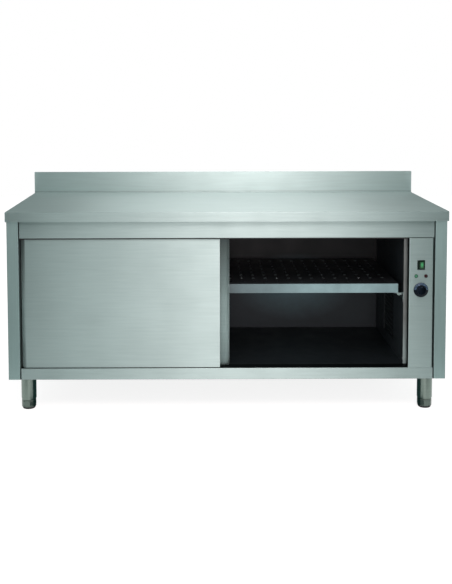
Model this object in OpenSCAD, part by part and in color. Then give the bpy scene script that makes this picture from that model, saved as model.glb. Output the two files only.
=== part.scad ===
// Plate warmer cabinet: a heated stainless steel cupboard with a worktop and two sliding doors.
// X runs to the right, Y to the back, Z up. The origin is on the floor, under the middle of the cabinet.
// All sizes are in millimetres.

/* [Cabinet] */
// Overall width, at the worktop
cabinet_w = 1800; // [1500:10:2200]
// Overall depth, at the worktop
cabinet_d = 700; // [620:10:800]
// Height of the worktop surface above the floor, with the feet screwed in
worktop_z = 825; // [800:1:900]
// Clear height under the carcass
carcass_z = 129; // [120:1:150]
// Set-back of the carcass front behind the edge of the worktop
front_setback = 20; // [19:1:40]
// Set-back of each carcass side inside the edge of the worktop
side_setback = 1.5; // [1.5:0.5:10]
// Set-back of the carcass back inside the back of the worktop
back_setback = 2; // [2:1:20]

/* [Worktop] */
// Height of the front and side edges
edge_h = 40; // [34:1:60]
// Height of the splashback above the worktop
upstand_h = 100; // [40:1:150]
// Depth of the splashback
upstand_t = 15; // [10:1:30]
// Thickness of the worktop sheet
top_t = 1.5; // [1:0.1:2]
// Radius of the rounded front edge
edge_r = 4; // [2:0.5:6]
// Radius of the cove at the foot of the splashback
cove_r = 6; // [3:1:10]
// Width of the lip folded in under the edges
top_lip = 34; // [28:1:40]
// Thickness of the board glued under the worktop sheet
board_t = 18; // [12:1:22]
// Width of each stretcher under the board
stretcher_w = 40; // [30:1:60]
// Distance between the stretchers
stretcher_pitch = 450; // [300:10:500]

/* [Carcass] */
// Thickness of the outer panels and rails
skin_t = 1.2; // [0.8:0.1:1.5]
// Outside radius of the folds in the outer panels
fold_r = 2.5; // [1.8:0.1:4]
// Width of each front post
post_w = 48; // [44:1:60]
// Depth of the posts and rails, from their front to the chamber
door_bay_d = 60; // [60:1:80]
// Height of the top rail
top_rail_h = 70; // [66:1:90]
// Height of the bottom rail
sill_h = 44.5; // [40:0.5:60]
// Gap between each end of a rail and the post beside it
rail_gap = 5; // [3:0.5:8]
// Thickness of the base pan
pan_t = 1.5; // [1:0.1:2]
// Width of the flanges along the top and bottom of the side panels
side_flange = 30; // [25:1:40]

/* [Chamber] */
// Thickness of the chamber liner
liner_t = 1; // [0.8:0.1:1.2]
// Thickness of the insulation behind the back liner
back_insulation = 18.8; // [15:0.2:30]
// Thickness of the insulation beside the right liner
right_insulation = 20; // [15:1:25]
// Depth of the chamber floor below the top of the bottom rail
floor_drop = 2; // [1:0.5:5]
// Height of the chamber ceiling above the lower edge of the top rail
ceiling_rise = 30; // [28:1:34]
// Width of the chamber's right jamb that shows beside the control panel
jamb_w = 8.5; // [6:0.5:15]

/* [Shelf] */
// Height of the shelf surface above the chamber floor
shelf_rise = 339; // [200:1:420]
// Height of the folded edges of the shelf
shelf_lip = 38; // [25:1:50]
// Thickness of the shelf sheet
shelf_t = 1.2; // [0.8:0.1:2]
// Gap between each end of the shelf and the chamber wall
shelf_gap = 23; // [18:1:24]
// Gap between the shelf and the back of the chamber
shelf_back_gap = 37; // [20:1:60]
// Diameter of the perforations
hole_d = 12; // [8:1:16]
// Distance between perforations along the shelf
hole_pitch_x = 50; // [35:1:70]
// Distance between rows of perforations
hole_pitch_y = 65; // [40:1:80]
// Least distance from a perforation to the edge of the shelf
hole_margin = 45; // [30:1:60]
// Width of each shelf runner
runner_w = 36; // [34:1:45]
// Height of the wall flange of each shelf runner
runner_h = 30; // [26:1:40]
// Thickness of the shelf runners
runner_t = 2; // [1.5:0.1:3]
// Radius of the rounded nose under the front end of each runner
runner_nose_r = 10.5; // [8:0.5:12]

/* [Doors] */
// Thickness of each door
door_t = 20; // [18:1:22]
// Thickness of the door sheet
door_skin = 1; // [0.8:0.1:1.2]
// Depth of the front door behind the front of the rails
door_recess = 7; // [6:0.5:9]
// Gap between the front and the rear door
door_gap = 5; // [4:0.5:6]
// Overlap of the two doors when both are closed
door_overlap = 36; // [30:1:80]
// Gap between the left door and the left post
door_side_gap = 6.5; // [6:0.5:10]
// How far the closed right door reaches behind the control panel
door_cover = 5.5; // [3:0.5:7]
// How far the right door shows past the left door where it is parked
door_show = 40; // [20:1:100]
// Gap under the doors
door_lift = 2.5; // [2:0.5:4]
// Height of the doors that hides behind the top rail
door_hide = 15; // [13:1:16]
// Radius of the rounded grip along the outer edge of each door
grip_r = 14; // [10:1:15]
// Width of the lip behind the rounded grip
grip_lip = 3; // [2:0.5:6]
// Width of the slot in the channel along the bottom of each door
slot_w = 6; // [5:0.5:7]
// Height of the channel along the bottom of each door
channel_h = 12; // [10:0.5:16]
// Wall of the bottom channel
channel_t = 1.5; // [1:0.1:2]

/* [Running gear] */
// Outer diameter of the door rollers
roller_d = 24; // [20:1:26]
// Width of the door rollers
roller_w = 7; // [6:0.5:8]
// Diameter of the roller pins
roller_pin_d = 6; // [5:0.5:7]
// Width of each hanger
hanger_w = 40; // [30:1:60]
// Thickness of each hanger
hanger_t = 2; // [1.5:0.1:2.5]
// Distance from the end of a door to its nearer roller
roller_inset = 90; // [60:1:200]
// Thickness of the track
track_t = 2; // [1.5:0.1:2.5]
// Length of the guide that stands on the bottom rail
guide_l = 22; // [15:1:25]
// Thickness of each guide fin
guide_fin_t = 3; // [2:0.5:4]
// Height of the guide fins above the bottom rail
guide_h = 11; // [9:0.5:11]

/* [Legs] */
// Outer diameter of the leg sleeves
leg_d = 62; // [50:1:66]
// Wall of the leg sleeves
leg_wall = 1.5; // [1.2:0.1:2]
// Distance from the end of the worktop to each leg
leg_x_inset = 77; // [76:1:160]
// Distance from the front or back edge of the worktop to each leg
leg_y_inset = 60; // [56:1:90]
// Height of the foot below the sleeve, when screwed in
foot_h = 40; // [30:1:50]
// Diameter of the foot
foot_d = 59; // [48:1:60]
// Diameter of the sole of the foot
sole_d = 50; // [40:1:52]
// Height of the chamfered sole
sole_h = 8; // [4:1:12]
// Diameter of the foot's threaded spindle
spindle_d = 12; // [10:1:16]
// Diameter of the stud on top of each leg
stud_d = 10; // [8:1:12]
// Width of the plate that stiffens the pan above each leg
leg_plate_w = 38; // [36:1:38]
// Thickness of the plate above each leg
leg_plate_t = 3; // [2:0.5:5]

/* [Controls] */
// Width of the control panel
panel_w = 98; // [90:1:120]
// Gap between the control panel and the right post
panel_gap = 8; // [6:0.5:12]
// Gap between the control panel and the top rail
panel_top_gap = 2.5; // [1.5:0.5:5]
// Distance of the thermostat knob above the bottom rail
knob_rise = 324; // [200:1:400]
// Diameter of the knob
knob_d = 60; // [45:1:66]
// Depth of the knob in front of the panel
knob_h = 18; // [14:0.5:18]
// Distance from the knob to the pilot lamps above it
lamp_rise = 57; // [48:1:70]
// Distance between the two pilot lamps
lamp_pitch = 40; // [24:1:50]
// Diameter of the pilot lamp bezels
lamp_d = 15; // [12:1:18]
// Distance from the pilot lamps to the switch above them
switch_rise = 46; // [34:1:60]
// Width of the switch bezel
switch_w = 31; // [28:1:34]
// Height of the switch bezel
switch_h = 39; // [37:1:44]
// Width of the rocker
rocker_w = 17; // [14:0.5:18]
// Length of the rocker
rocker_l = 30; // [26:0.5:30]
// Tilt of the rocker to each side of level
rocker_tilt = 7; // [4:1:10]

/* [Heating unit] */
// Height of the fan above the chamber floor
fan_rise = 147; // [130:1:200]
// Distance of the fan behind the middle of the cabinet
fan_y = 25; // [-60:1:100]
// Diameter of the fan
fan_d = 150; // [120:1:160]
// Depth of the fan blades
fan_blade_d = 30; // [20:1:32]
// Number of fan blades
fan_blades = 16; // [8:1:24]
// Radius of the ring element round the fan
element_r = 92; // [88:1:100]
// Thickness of the tubular element
element_d = 8; // [6:0.5:10]
// Outer size of the square fan housing
housing_w = 236; // [226:1:240]
// Depth of the fan housing
housing_d = 83; // [75:1:90]
// Size of the air grille's perforated field with its margins
grille_w = 230; // [210:1:236]
// Diameter of the holes in the air grille
grille_hole_d = 12; // [6:1:14]
// Distance between the holes in the air grille
grille_pitch = 20; // [16:1:30]
// Diameter of the bore of the supply cable's gland
gland_bore_d = 9; // [6:0.5:11]

/* [Hidden] */
$fn = 64;
play = 0.3;            // gap left between parts that slide or stand close
eps = 0.5;             // overshoot of cuts
xo = cabinet_w/2 - side_setback;              // outer faces of the side panels
yf = -cabinet_d/2 + front_setback;            // front of posts, rails and control panel
yb = cabinet_d/2 - back_setback;              // back of the carcass
zt = worktop_z - edge_h;                      // top of the carcass
pan_z = carcass_z + pan_t;                    // upper face of the base pan
sill_z = pan_z + sill_h;                      // top of the bottom rail
rail_z = zt - top_rail_h;                     // lower edge of the top rail
xi = xo - post_w;                             // inner edges of the posts
panel_x1 = xi - panel_gap;                    // right edge of the control panel
panel_x0 = panel_x1 - panel_w;                // left edge of the control panel
panel_x = (panel_x0 + panel_x1)/2;
chamber_x0 = -xi;                             // inner face of the left liner
chamber_x1 = panel_x0 - jamb_w;               // inner face of the right liner
chamber_y0 = yf + door_bay_d;                 // front of the chamber
chamber_y1 = yb - skin_t - back_insulation - liner_t;  // inner face of the back liner
floor_z = sill_z - floor_drop;                // chamber floor
ceiling_z = rail_z + ceiling_rise;            // chamber ceiling
chamber_y = (chamber_y0 + chamber_y1)/2;

door_z0 = sill_z + door_lift;
door_z1 = rail_z + door_hide;
left_x0 = chamber_x0 + door_side_gap;                          // left door, closed
door_w = (panel_x0 + door_cover - left_x0 + door_overlap)/2;
left_x1 = left_x0 + door_w;
right_x1 = left_x1 + door_show;                                // right door, parked behind the left
right_x0 = right_x1 - door_w;
front_door_y = yf + door_recess;                               // front faces of the doors
door_pitch = door_t + door_gap;
channel_w = slot_w + 2*channel_t;

roller_r = roller_d/2;
ledge_z = door_z1 + 8 - play;                  // the tracks' running faces
roller_z = ledge_z + play + roller_r;
hanger_z1 = roller_z + roller_r + hanger_t;
hanger_dy = door_t/2 - hanger_t/2;             // from a door's front face to its hangers
roller_dy = hanger_dy + hanger_t + 0.5;
pin_head_t = 1.2;
web_dy = roller_dy + roller_w + pin_head_t + play + 1.2;   // from a door's front face to its track's web
guide_x = (left_x1 + panel_x0 + door_cover - door_w)/2;    // both doors always cover the guide

shelf_z = floor_z + shelf_rise;
shelf_x0 = chamber_x0 + shelf_gap;
shelf_x1 = chamber_x1 - shelf_gap;
shelf_y1 = chamber_y1 - shelf_back_gap;
runner_z = shelf_z - shelf_lip;

knob_z = sill_z + knob_rise;
lamp_z = knob_z + lamp_rise;
switch_z = lamp_z + switch_rise;
knob_shaft_d = 6;
thermostat_w = 42;
thermostat_d = 32;
lamp_barrel_d = 12;
switch_body_w = switch_w - 5;
switch_body_h = switch_h - 5;
switch_bezel_t = 2;
rocker_dx = 2.5;                               // the rocker sits right of the bezel's middle
rocker_y = yf + 2;                             // pivot of the rocker
rocker_pin_d = 3;

fan_z = floor_z + fan_rise;
fan_shaft_d = 8;
housing_x0 = chamber_x1 + liner_t;
housing_x1 = housing_x0 + housing_d;
fan_x0 = housing_x0 + 20;                      // front of the fan blades
element_x = fan_x0 + fan_blade_d/2;
element_gap_a = 14;                            // half the open angle of the ring element
motor_flange_t = 2;
motor_l = 50;
motor_d = 84;
shaft_clear = 0.05;
grille_gap = 1.8;                              // between the grille and the walls of the fan housing
grille_plate_w = housing_w - 2*skin_t - 2*grille_gap;
grille_hole_w = grille_w - 30;                 // opening in the chamber wall in front of the grille

gland_x = panel_x0 + 16;
gland_y = yb - 48;
terminal_y = gland_y - 100;                    // front of the terminal block
stud_top = 19;                                 // length of each leg's stud above the carcass bottom
bush_z = foot_h + 6;
bush_h = 12;
foot_travel = 45;
leg_x = cabinet_w/2 - leg_x_inset;
leg_y = cabinet_d/2 - leg_y_inset;
LEGS = [[-leg_x, -leg_y], [leg_x, -leg_y], [-leg_x, leg_y], [leg_x, leg_y]];

steel = "#a9b9b8";
steel_dark = "#7d8b8b";
wool = "#b9ad8c";
black = "#1c1e21";

// ---------- shared shapes ----------

// A box between two opposite corners
module block(a, b) {
    translate(a) cube(b - a);
}

// A flat rectangle between two opposite corners
module rect(a, b) {
    translate(a) square(b - a);
}

// A rectangle with true round corners
module soft_rect(a, b, r) {
    rect(a + [r, 0], b - [r, 0]);
    rect(a + [0, r], b - [0, r]);
    for (x = [a.x + r, b.x - r])
        for (y = [a.y + r, b.y - r])
            translate([x, y]) circle(r);
}

// Lays a profile drawn in Y and Z along the X axis
module along_x(x0, x1) {
    translate([x0, 0, 0]) rotate([90, 0, 90]) linear_extrude(x1 - x0) children();
}

// Stands a profile drawn in X and Y up between two heights
module along_z(z0, z1) {
    translate([0, 0, z0]) linear_extrude(z1 - z0) children();
}

// A cylinder from point p, along +Y
module rod_y(p, l, d) {
    translate(p) rotate([-90, 0, 0]) cylinder(h = l, d = d);
}

// A cylinder from point p, along +X
module rod_x(p, l, d) {
    translate(p) rotate([0, 90, 0]) cylinder(h = l, d = d);
}

// ---------- worktop ----------

// The worktop's outline seen from its end
module worktop_outline() {
    back = cabinet_d/2;
    soft_rect([-back, zt], [back, worktop_z], edge_r);
    rect([-back, zt], [back, worktop_z - edge_r]);
    rect([back - upstand_t, zt], [back, worktop_z + upstand_h]);
    difference() {
        rect([back - upstand_t - cove_r, worktop_z - eps], [back - upstand_t, worktop_z + cove_r]);
        translate([back - upstand_t - cove_r, worktop_z + cove_r]) circle(cove_r);
    }
}

// What the folded worktop sheet leaves empty inside
module worktop_hollow() {
    back = cabinet_d/2 - top_t;
    soft_rect([-back, zt + top_t], [back, worktop_z - top_t], edge_r - top_t);
    rect([cabinet_d/2 - upstand_t + top_t, zt + top_t], [back, worktop_z + upstand_h - top_t]);
    rect([-back + top_lip, zt - eps], [back - top_lip, zt + edge_h/2]);
}

module worktop() {
    half = cabinet_w/2;
    color(steel) {
        difference() {
            along_x(-half, half) worktop_outline();
            along_x(-half + top_t, half - top_t) worktop_hollow();
        }
        for (side = [-1, 1])
            translate([side*(half - top_t/2 - side_flange/2), 0, zt + top_t/2])
                cube([side_flange + top_t, cabinet_d - 2*top_t, top_t], center = true);
    }
}

module worktop_board() {
    inset = top_t + 4;
    color("#a98a5e")
        block([-cabinet_w/2 + inset, -cabinet_d/2 + inset, worktop_z - top_t - board_t],
              [cabinet_w/2 - inset, cabinet_d/2 - upstand_t - inset, worktop_z - top_t]);
}

// Hollow stretchers that carry the board between the front and the back of the carcass
module top_stretchers() {
    y0 = -cabinet_d/2 + top_t + top_lip;
    y1 = cabinet_d/2 - top_t - top_lip;
    height = edge_h - top_t - board_t;
    color(steel_dark)
        for (i = [-1, 0, 1])
            translate([i*stretcher_pitch, 0, zt])
                difference() {
                    block([-stretcher_w/2, y0, 0], [stretcher_w/2, y1, height]);
                    block([-stretcher_w/2 + skin_t, y0 - eps, skin_t],
                          [stretcher_w/2 - skin_t, y1 + eps, height - skin_t]);
                }
}

// ---------- carcass ----------

// A side panel folded from one sheet: post, outer side and back flange, drawn for the left side
module side_panel() {
    color(steel) {
        along_z(carcass_z, zt)
            difference() {
                soft_rect([-xo, yf], [-xi, yb], fold_r);
                soft_rect([-xo + skin_t, yf + skin_t], [-xi - skin_t, yb - skin_t], fold_r - skin_t);
                rect([-xi - skin_t, chamber_y0], [-xi + eps, yb + eps]);
            }
        for (z = [carcass_z, zt - skin_t])
            block([-xo + skin_t/2, yf + skin_t/2, z], [-xo + side_flange, yb - skin_t/2, z + skin_t]);
    }
}

module back_panel() {
    color(steel_dark) {
        block([-xi - skin_t, yb - skin_t, pan_z], [xi + skin_t, yb, zt]);
        block([-xi, yb - skin_t - 2*side_flange, zt - skin_t], [xi, yb - skin_t/2, zt]);
    }
}

module base_pan() {
    color(steel_dark)
        difference() {
            union() {
                block([-xi, yf + skin_t/3, carcass_z], [xi, chamber_y0 + eps, pan_z]);
                block([-xo + side_flange, chamber_y0, carcass_z],
                      [xo - side_flange, yb - skin_t, pan_z]);
            }
            for (p = LEGS)
                translate([p.x, p.y, carcass_z - eps]) cylinder(h = pan_t + 2*eps, d = stud_d + 2*play);
            translate([gland_x, gland_y, carcass_z - eps]) cylinder(h = pan_t + 2*eps, d = 20 + 2*play);
        }
}

module top_rail() {
    color(steel) {
        along_x(-xi + rail_gap, xi - rail_gap)
            difference() {
                soft_rect([yf, rail_z], [chamber_y0 + fold_r, zt], fold_r);
                rect([yf + skin_t, rail_z + skin_t], [chamber_y0 + 2*fold_r, zt - skin_t]);
                rect([yf + 4*skin_t, rail_z - eps], [chamber_y0 + 2*fold_r, zt - skin_t]);
                rect([chamber_y0, rail_z - eps], [chamber_y0 + 2*fold_r, zt + eps]);
            }
        block([-xi, yf + 4*fold_r, zt - skin_t], [xi, chamber_y0, zt]);
    }
}

module bottom_rail() {
    color(steel)
        along_x(-xi + rail_gap, xi - rail_gap)
            difference() {
                soft_rect([yf, pan_z - 2*fold_r], [chamber_y0, sill_z], fold_r);
                soft_rect([yf + skin_t, pan_z - 3*fold_r], [chamber_y0 - skin_t, sill_z - skin_t],
                          fold_r - skin_t);
                rect([yf - eps, pan_z - 3*fold_r], [chamber_y0 + eps, pan_z]);
                rect([chamber_y0 - 2*skin_t, pan_z - eps], [chamber_y0 + eps, sill_z - 15]);
            }
}

// ---------- control panel ----------

module control_panel() {
    z1 = rail_z - panel_top_gap;
    short_return = front_door_y + door_pitch - 2 - yf;
    color(steel)
        difference() {
            along_z(sill_z, z1)
                difference() {
                    soft_rect([panel_x0, yf], [panel_x1, chamber_y0 + fold_r], fold_r);
                    soft_rect([panel_x0 + skin_t, yf + skin_t],
                              [panel_x1 - skin_t, chamber_y0 + 3*fold_r], fold_r - skin_t);
                    rect([panel_x0 - eps, chamber_y0], [panel_x1 + eps, chamber_y0 + 3*fold_r]);
                    rect([panel_x0 - eps, yf + short_return], [panel_x0 + 2*skin_t, chamber_y0 + eps]);
                }
            rod_y([panel_x, yf - eps, knob_z], skin_t + 2*eps, knob_shaft_d + 2);
            for (side = [-1, 1])
                rod_y([panel_x + side*lamp_pitch/2, yf - eps, lamp_z], skin_t + 2*eps,
                      lamp_barrel_d + play);
            translate([panel_x, yf, switch_z])
                cube([switch_body_w + 2*play, 4*skin_t, switch_body_h + 2*play], center = true);
        }
}

// ---------- chamber liner and insulation ----------

module liner_left() {
    color(steel_dark) {
        block([-xi - liner_t, chamber_y0, pan_z], [-xi, yb - skin_t, zt - skin_t]);
        block([-xo + skin_t, chamber_y0, pan_z], [-xi, chamber_y0 + liner_t, zt - skin_t]);
    }
}

// The right wall with the bulkhead behind the controls, folded from one sheet
module liner_right() {
    color(steel_dark) {
        difference() {
            block([chamber_x1, chamber_y0, pan_z], [chamber_x1 + liner_t, yb - skin_t, zt - skin_t]);
            translate([chamber_x1, fan_y, fan_z]) cube([4*liner_t, grille_hole_w, grille_hole_w], center = true);
        }
        block([chamber_x1, chamber_y0, pan_z], [xi, chamber_y0 + liner_t, zt - skin_t]);
    }
}

module liner_back() {
    color(steel_dark)
        block([chamber_x0, chamber_y1, pan_z], [chamber_x1, chamber_y1 + liner_t, zt - skin_t]);
}

module liner_floor() {
    color(steel_dark)
        block([chamber_x0, chamber_y0, floor_z - liner_t], [chamber_x1, chamber_y1, floor_z]);
}

module liner_ceiling() {
    color(steel_dark) {
        block([chamber_x0, chamber_y0, ceiling_z], [chamber_x1, chamber_y1, ceiling_z + liner_t]);
        block([chamber_x0, chamber_y0, ceiling_z], [chamber_x1, chamber_y0 + liner_t, zt]);
    }
}

// Mineral wool slabs in the floor, ceiling, left wall, back and right wall, with room for the leg studs
module insulation() {
    slab_z1 = zt - skin_t;
    color(wool) difference() {
        insulation_slabs(slab_z1);
        for (p = LEGS)
            translate([p.x, p.y, pan_z])
                cube([leg_plate_w + 6, leg_plate_w + 6, 2*stud_top + 6], center = true);
    }
}

module insulation_slabs(slab_z1) {
    union() {
        block([chamber_x0, chamber_y0, pan_z], [chamber_x1, chamber_y1, floor_z - liner_t]);
        block([chamber_x0, chamber_y0 + liner_t, ceiling_z + liner_t], [chamber_x1, chamber_y1, slab_z1]);
        block([-xo + skin_t, chamber_y0 + liner_t, pan_z], [-xi - liner_t, yb - fold_r, slab_z1]);
        block([chamber_x0, chamber_y1 + liner_t, pan_z], [chamber_x1, yb - skin_t, zt - 2*skin_t]);
        difference() {
            block([chamber_x1 + liner_t, chamber_y0 + liner_t, pan_z],
                  [chamber_x1 + liner_t + right_insulation, yb - skin_t, slab_z1 - skin_t]);
            translate([housing_x0 + right_insulation/2, fan_y, fan_z])
                cube([2*right_insulation, housing_w + 26, housing_w + 26], center = true);
            translate([gland_x, gland_y, pan_z]) cube([60, 60, 60], center = true);
        }
    }
}

// ---------- door track, guide and buffers ----------

// One aluminium section with two running ledges
module door_track() {
    color("#b4babb")
        along_x(chamber_x0, panel_x0)
            for (i = [0, 1]) {
                y = front_door_y + i*door_pitch;
                rect([y - eps, zt - skin_t - track_t], [y + door_pitch, zt - skin_t]);
                rect([y + web_dy, ledge_z - track_t], [y + web_dy + track_t, zt - skin_t]);
                rect([y + roller_dy + 1, ledge_z - track_t], [y + web_dy + track_t, ledge_z]);
            }
}

// A moulded guide with one fin for each door's bottom channel
module floor_guide() {
    base_t = door_lift - 1;
    color(black) {
        block([guide_x - guide_l/2, front_door_y + 2, sill_z],
              [guide_x + guide_l/2, front_door_y + door_pitch + door_t - 2, sill_z + base_t]);
        for (i = [0, 1])
            translate([guide_x, front_door_y + door_t/2 + i*door_pitch, sill_z + guide_h/2])
                cube([guide_l, guide_fin_t, guide_h], center = true);
    }
}

// Rubber buffers on the left post, one for each door
module door_buffers() {
    color(black)
        for (i = [0, 1])
            rod_x([chamber_x0, front_door_y + door_t*3/4 + i*door_pitch, rail_z + 6],
                  door_side_gap - play, 8);
}

// ---------- shelf and runners ----------

module shelf() {
    length = shelf_x1 - shelf_x0;
    depth = shelf_y1 - chamber_y0;
    columns = floor((length - 2*hole_margin)/hole_pitch_x) + 1;
    rows = floor((depth - 2*hole_margin)/hole_pitch_y) + 1;
    middle = [(shelf_x0 + shelf_x1)/2, (chamber_y0 + shelf_y1)/2];
    color(steel)
        difference() {
            block([shelf_x0, chamber_y0, runner_z + play], [shelf_x1, shelf_y1, shelf_z]);
            block([shelf_x0 + shelf_t, chamber_y0 + shelf_t, runner_z - eps],
                  [shelf_x1 - shelf_t, shelf_y1 - shelf_t, shelf_z - shelf_t]);
            for (i = [0 : columns - 1])
                for (j = [0 : rows - 1])
                    translate([middle.x + (i - (columns - 1)/2)*hole_pitch_x,
                               middle.y + (j - (rows - 1)/2)*hole_pitch_y, shelf_z - 2*shelf_t])
                        cylinder(h = 3*shelf_t, d = hole_d, $fn = 24);
        }
}

// An angle along the chamber wall with a rounded nose, drawn for the right wall
module shelf_runner(wall_x, side) {
    color(steel)
        translate([wall_x, 0, 0]) mirror([side < 0 ? 1 : 0, 0, 0]) {
            block([-runner_w, chamber_y0 + 2, runner_z - runner_t], [0, shelf_y1, runner_z]);
            block([-runner_t, chamber_y0 + 2, runner_z - runner_h], [0, shelf_y1, runner_z]);
            intersection() {
                rod_y([-runner_w/2, chamber_y0 + 2, runner_z - runner_t/2], runner_t, 2*runner_nose_r);
                block([-runner_w, chamber_y0, runner_z - runner_h], [0, chamber_y0 + 20, runner_z]);
            }
        }
}

// Dome screws that hold the runners, and two below them at the front of each wall
module runner_screws() {
    head_d = 8;
    head_t = 2.5;
    color("#8d9698")
        for (side = [-1, 1]) {
            wall_x = side < 0 ? chamber_x0 : chamber_x1;
            for (y = [chamber_y0 + 30, shelf_y1 - 30])
                rod_x([wall_x - (side < 0 ? -runner_t : runner_t + head_t), y, runner_z - runner_h/2],
                      head_t, head_d);
            for (z = [floor_z + 21, runner_z - runner_h - 7])
                rod_x([wall_x - (side < 0 ? 0 : head_t), chamber_y0 + 8, z], head_t, head_d);
        }
}

// ---------- legs ----------

module leg_plates() {
    color(steel_dark)
        for (p = LEGS)
            translate([p.x, p.y, pan_z])
                difference() {
                    translate([0, 0, leg_plate_t/2]) cube([leg_plate_w, leg_plate_w, leg_plate_t], center = true);
                    translate([0, 0, -eps]) cylinder(h = leg_plate_t + 2*eps, d = stud_d + 2*play);
                }
}

module leg_nuts() {
    color("#8d9698")
        for (p = LEGS)
            translate([p.x, p.y, pan_z + leg_plate_t])
                difference() {
                    cylinder(h = 8, d = stud_d*1.9, $fn = 6);
                    translate([0, 0, -eps]) cylinder(h = 8 + 2*eps, d = stud_d + 2*shaft_clear);
                }
}

module leg_sleeves() {
    taper_h = 4;
    taper = 1.2;
    bore_d = leg_d - 2*leg_wall;
    color(steel)
        for (p = LEGS)
            translate([p.x, p.y, 0]) {
                difference() {
                    union() {
                        translate([0, 0, foot_h + taper_h])
                            cylinder(h = carcass_z - foot_h - taper_h, d = leg_d);
                        translate([0, 0, foot_h])
                            cylinder(h = taper_h, d1 = leg_d - 2*taper, d2 = leg_d);
                    }
                    translate([0, 0, bush_z + bush_h])
                        cylinder(h = carcass_z - bush_z - bush_h - 5, d = bore_d);
                    translate([0, 0, foot_h - eps]) cylinder(h = bush_z - foot_h + eps, d = bore_d - 3);
                    translate([0, 0, foot_h]) cylinder(h = bush_h + 8, d = spindle_d + 2*shaft_clear);
                }
                translate([0, 0, carcass_z - eps]) cylinder(h = stud_top + eps, d = stud_d);
            }
}

// A faceted foot with a chamfered sole and a threaded spindle
module foot(p) {
    spindle_l = carcass_z - foot_h - 12;
    color("#6c7674")
        translate([p.x, p.y, 0]) {
            translate([0, 0, sole_h]) cylinder(h = foot_h - play - sole_h, d = foot_d, $fn = 12);
            cylinder(h = sole_h, d1 = sole_d, d2 = foot_d - 2);
            translate([0, 0, foot_h - play - eps]) cylinder(h = spindle_l, d = spindle_d);
        }
}

// ---------- doors ----------

// The front sheet with its rounded grip at x0, seen from above, for a door x0 to x1 wide
module door_skin_outline(x0, x1, y) {
    grip_x = x0 + grip_lip + grip_r;
    back = y + door_t;
    rect([grip_x, y], [x1, y + door_skin]);
    rect([x1 - door_skin, y], [x1, back - door_skin]);
    intersection() {
        difference() {
            translate([grip_x, y + grip_r]) circle(grip_r);
            translate([grip_x, y + grip_r]) circle(grip_r - door_skin);
        }
        rect([grip_x - grip_r - eps, y - eps], [grip_x + eps/2, y + grip_r]);
    }
    rect([grip_x - grip_r, y + grip_r - eps/2], [grip_x - grip_r + door_skin, back - door_skin]);
    rect([x0, back - 2*door_skin], [grip_x - grip_r + door_skin, back - door_skin]);
}

// The room inside the front sheet, where the core and the end folds lie
module door_core_outline(x0, x1, y) {
    grip_x = x0 + grip_lip + grip_r;
    rect([grip_x, y + door_skin], [x1 - door_skin, y + door_t - door_skin]);
    intersection() {
        translate([grip_x, y + grip_r]) circle(grip_r - door_skin);
        rect([grip_x - grip_r, y], [grip_x + eps/2, y + grip_r]);
    }
    rect([grip_x - grip_r + door_skin, y + grip_r - eps/2], [grip_x + eps/2, y + door_t - door_skin]);
}

module door_skin_sheet(x0, x1, y) {
    color(steel) {
        along_z(door_z0, door_z1) door_skin_outline(x0, x1, y);
        along_z(door_z1 - door_skin, door_z1) door_core_outline(x0, x1, y);
        along_z(door_z0, door_z0 + door_skin)
            intersection() {
                door_core_outline(x0, x1, y);
                rect([x0, y], [x1, y + (door_t - channel_w)/2]);
            }
    }
}

module door_back_sheet(x0, x1, y) {
    back = y + door_t;
    color(steel_dark) {
        block([x0, back - door_skin, door_z0], [x1, back, door_z1]);
        block([x0 + grip_lip + 2*door_skin, y + (door_t + channel_w)/2, door_z0],
              [x1 - door_skin, back - door_skin, door_z0 + door_skin]);
    }
}

module door_core_slab(x0, x1, y) {
    color(wool)
        along_z(door_z0 + channel_h, door_z1 - door_skin) door_core_outline(x0, x1, y);
}

// The slotted channel that runs over the guide fin
module door_channel(x0, x1, y) {
    middle = y + door_t/2;
    color(steel_dark)
        along_x(x0 + grip_lip + grip_r, x1 - door_skin)
            difference() {
                rect([middle - channel_w/2, door_z0], [middle + channel_w/2, door_z0 + channel_h]);
                rect([middle - slot_w/2, door_z0 - eps],
                     [middle + slot_w/2, door_z0 + channel_h - channel_t]);
            }
}

// Two angle hangers with their roller pins
module door_hangers(roller_xs, y) {
    foot_l = door_t - 4;
    color("#8d9698")
        for (x = roller_xs) {
            block([x - hanger_w/2, y + 2, door_z1], [x + hanger_w/2, y + 2 + foot_l, door_z1 + hanger_t]);
            block([x - hanger_w/2, y + hanger_dy, door_z1],
                  [x + hanger_w/2, y + hanger_dy + hanger_t, hanger_z1]);
            rod_y([x, y + hanger_dy + hanger_t - eps, roller_z],
                  roller_dy - hanger_dy - hanger_t + roller_w + play + eps, roller_pin_d);
            rod_y([x, y + roller_dy + roller_w + play, roller_z], pin_head_t, roller_pin_d + 3);
        }
}

// A door roller with a running bore
module roller(x, y) {
    color("#d8d8d2")
        difference() {
            rod_y([x, y + roller_dy, roller_z], roller_w, roller_d);
            rod_y([x, y + roller_dy - eps, roller_z], roller_w + 2*eps, roller_pin_d + 2*shaft_clear);
        }
}

left_rollers = [left_x0 + roller_inset, left_x1 - roller_inset];
right_rollers = [right_x0 + roller_inset, right_x1 - roller_inset];
rear_door_y = front_door_y + door_pitch;

// Draws the right door's parts as the left door's, mirrored about the middle of the right door
module as_right_door() {
    translate([right_x0 + right_x1, 0, 0]) mirror([1, 0, 0]) children();
}

// ---------- controls ----------

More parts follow.
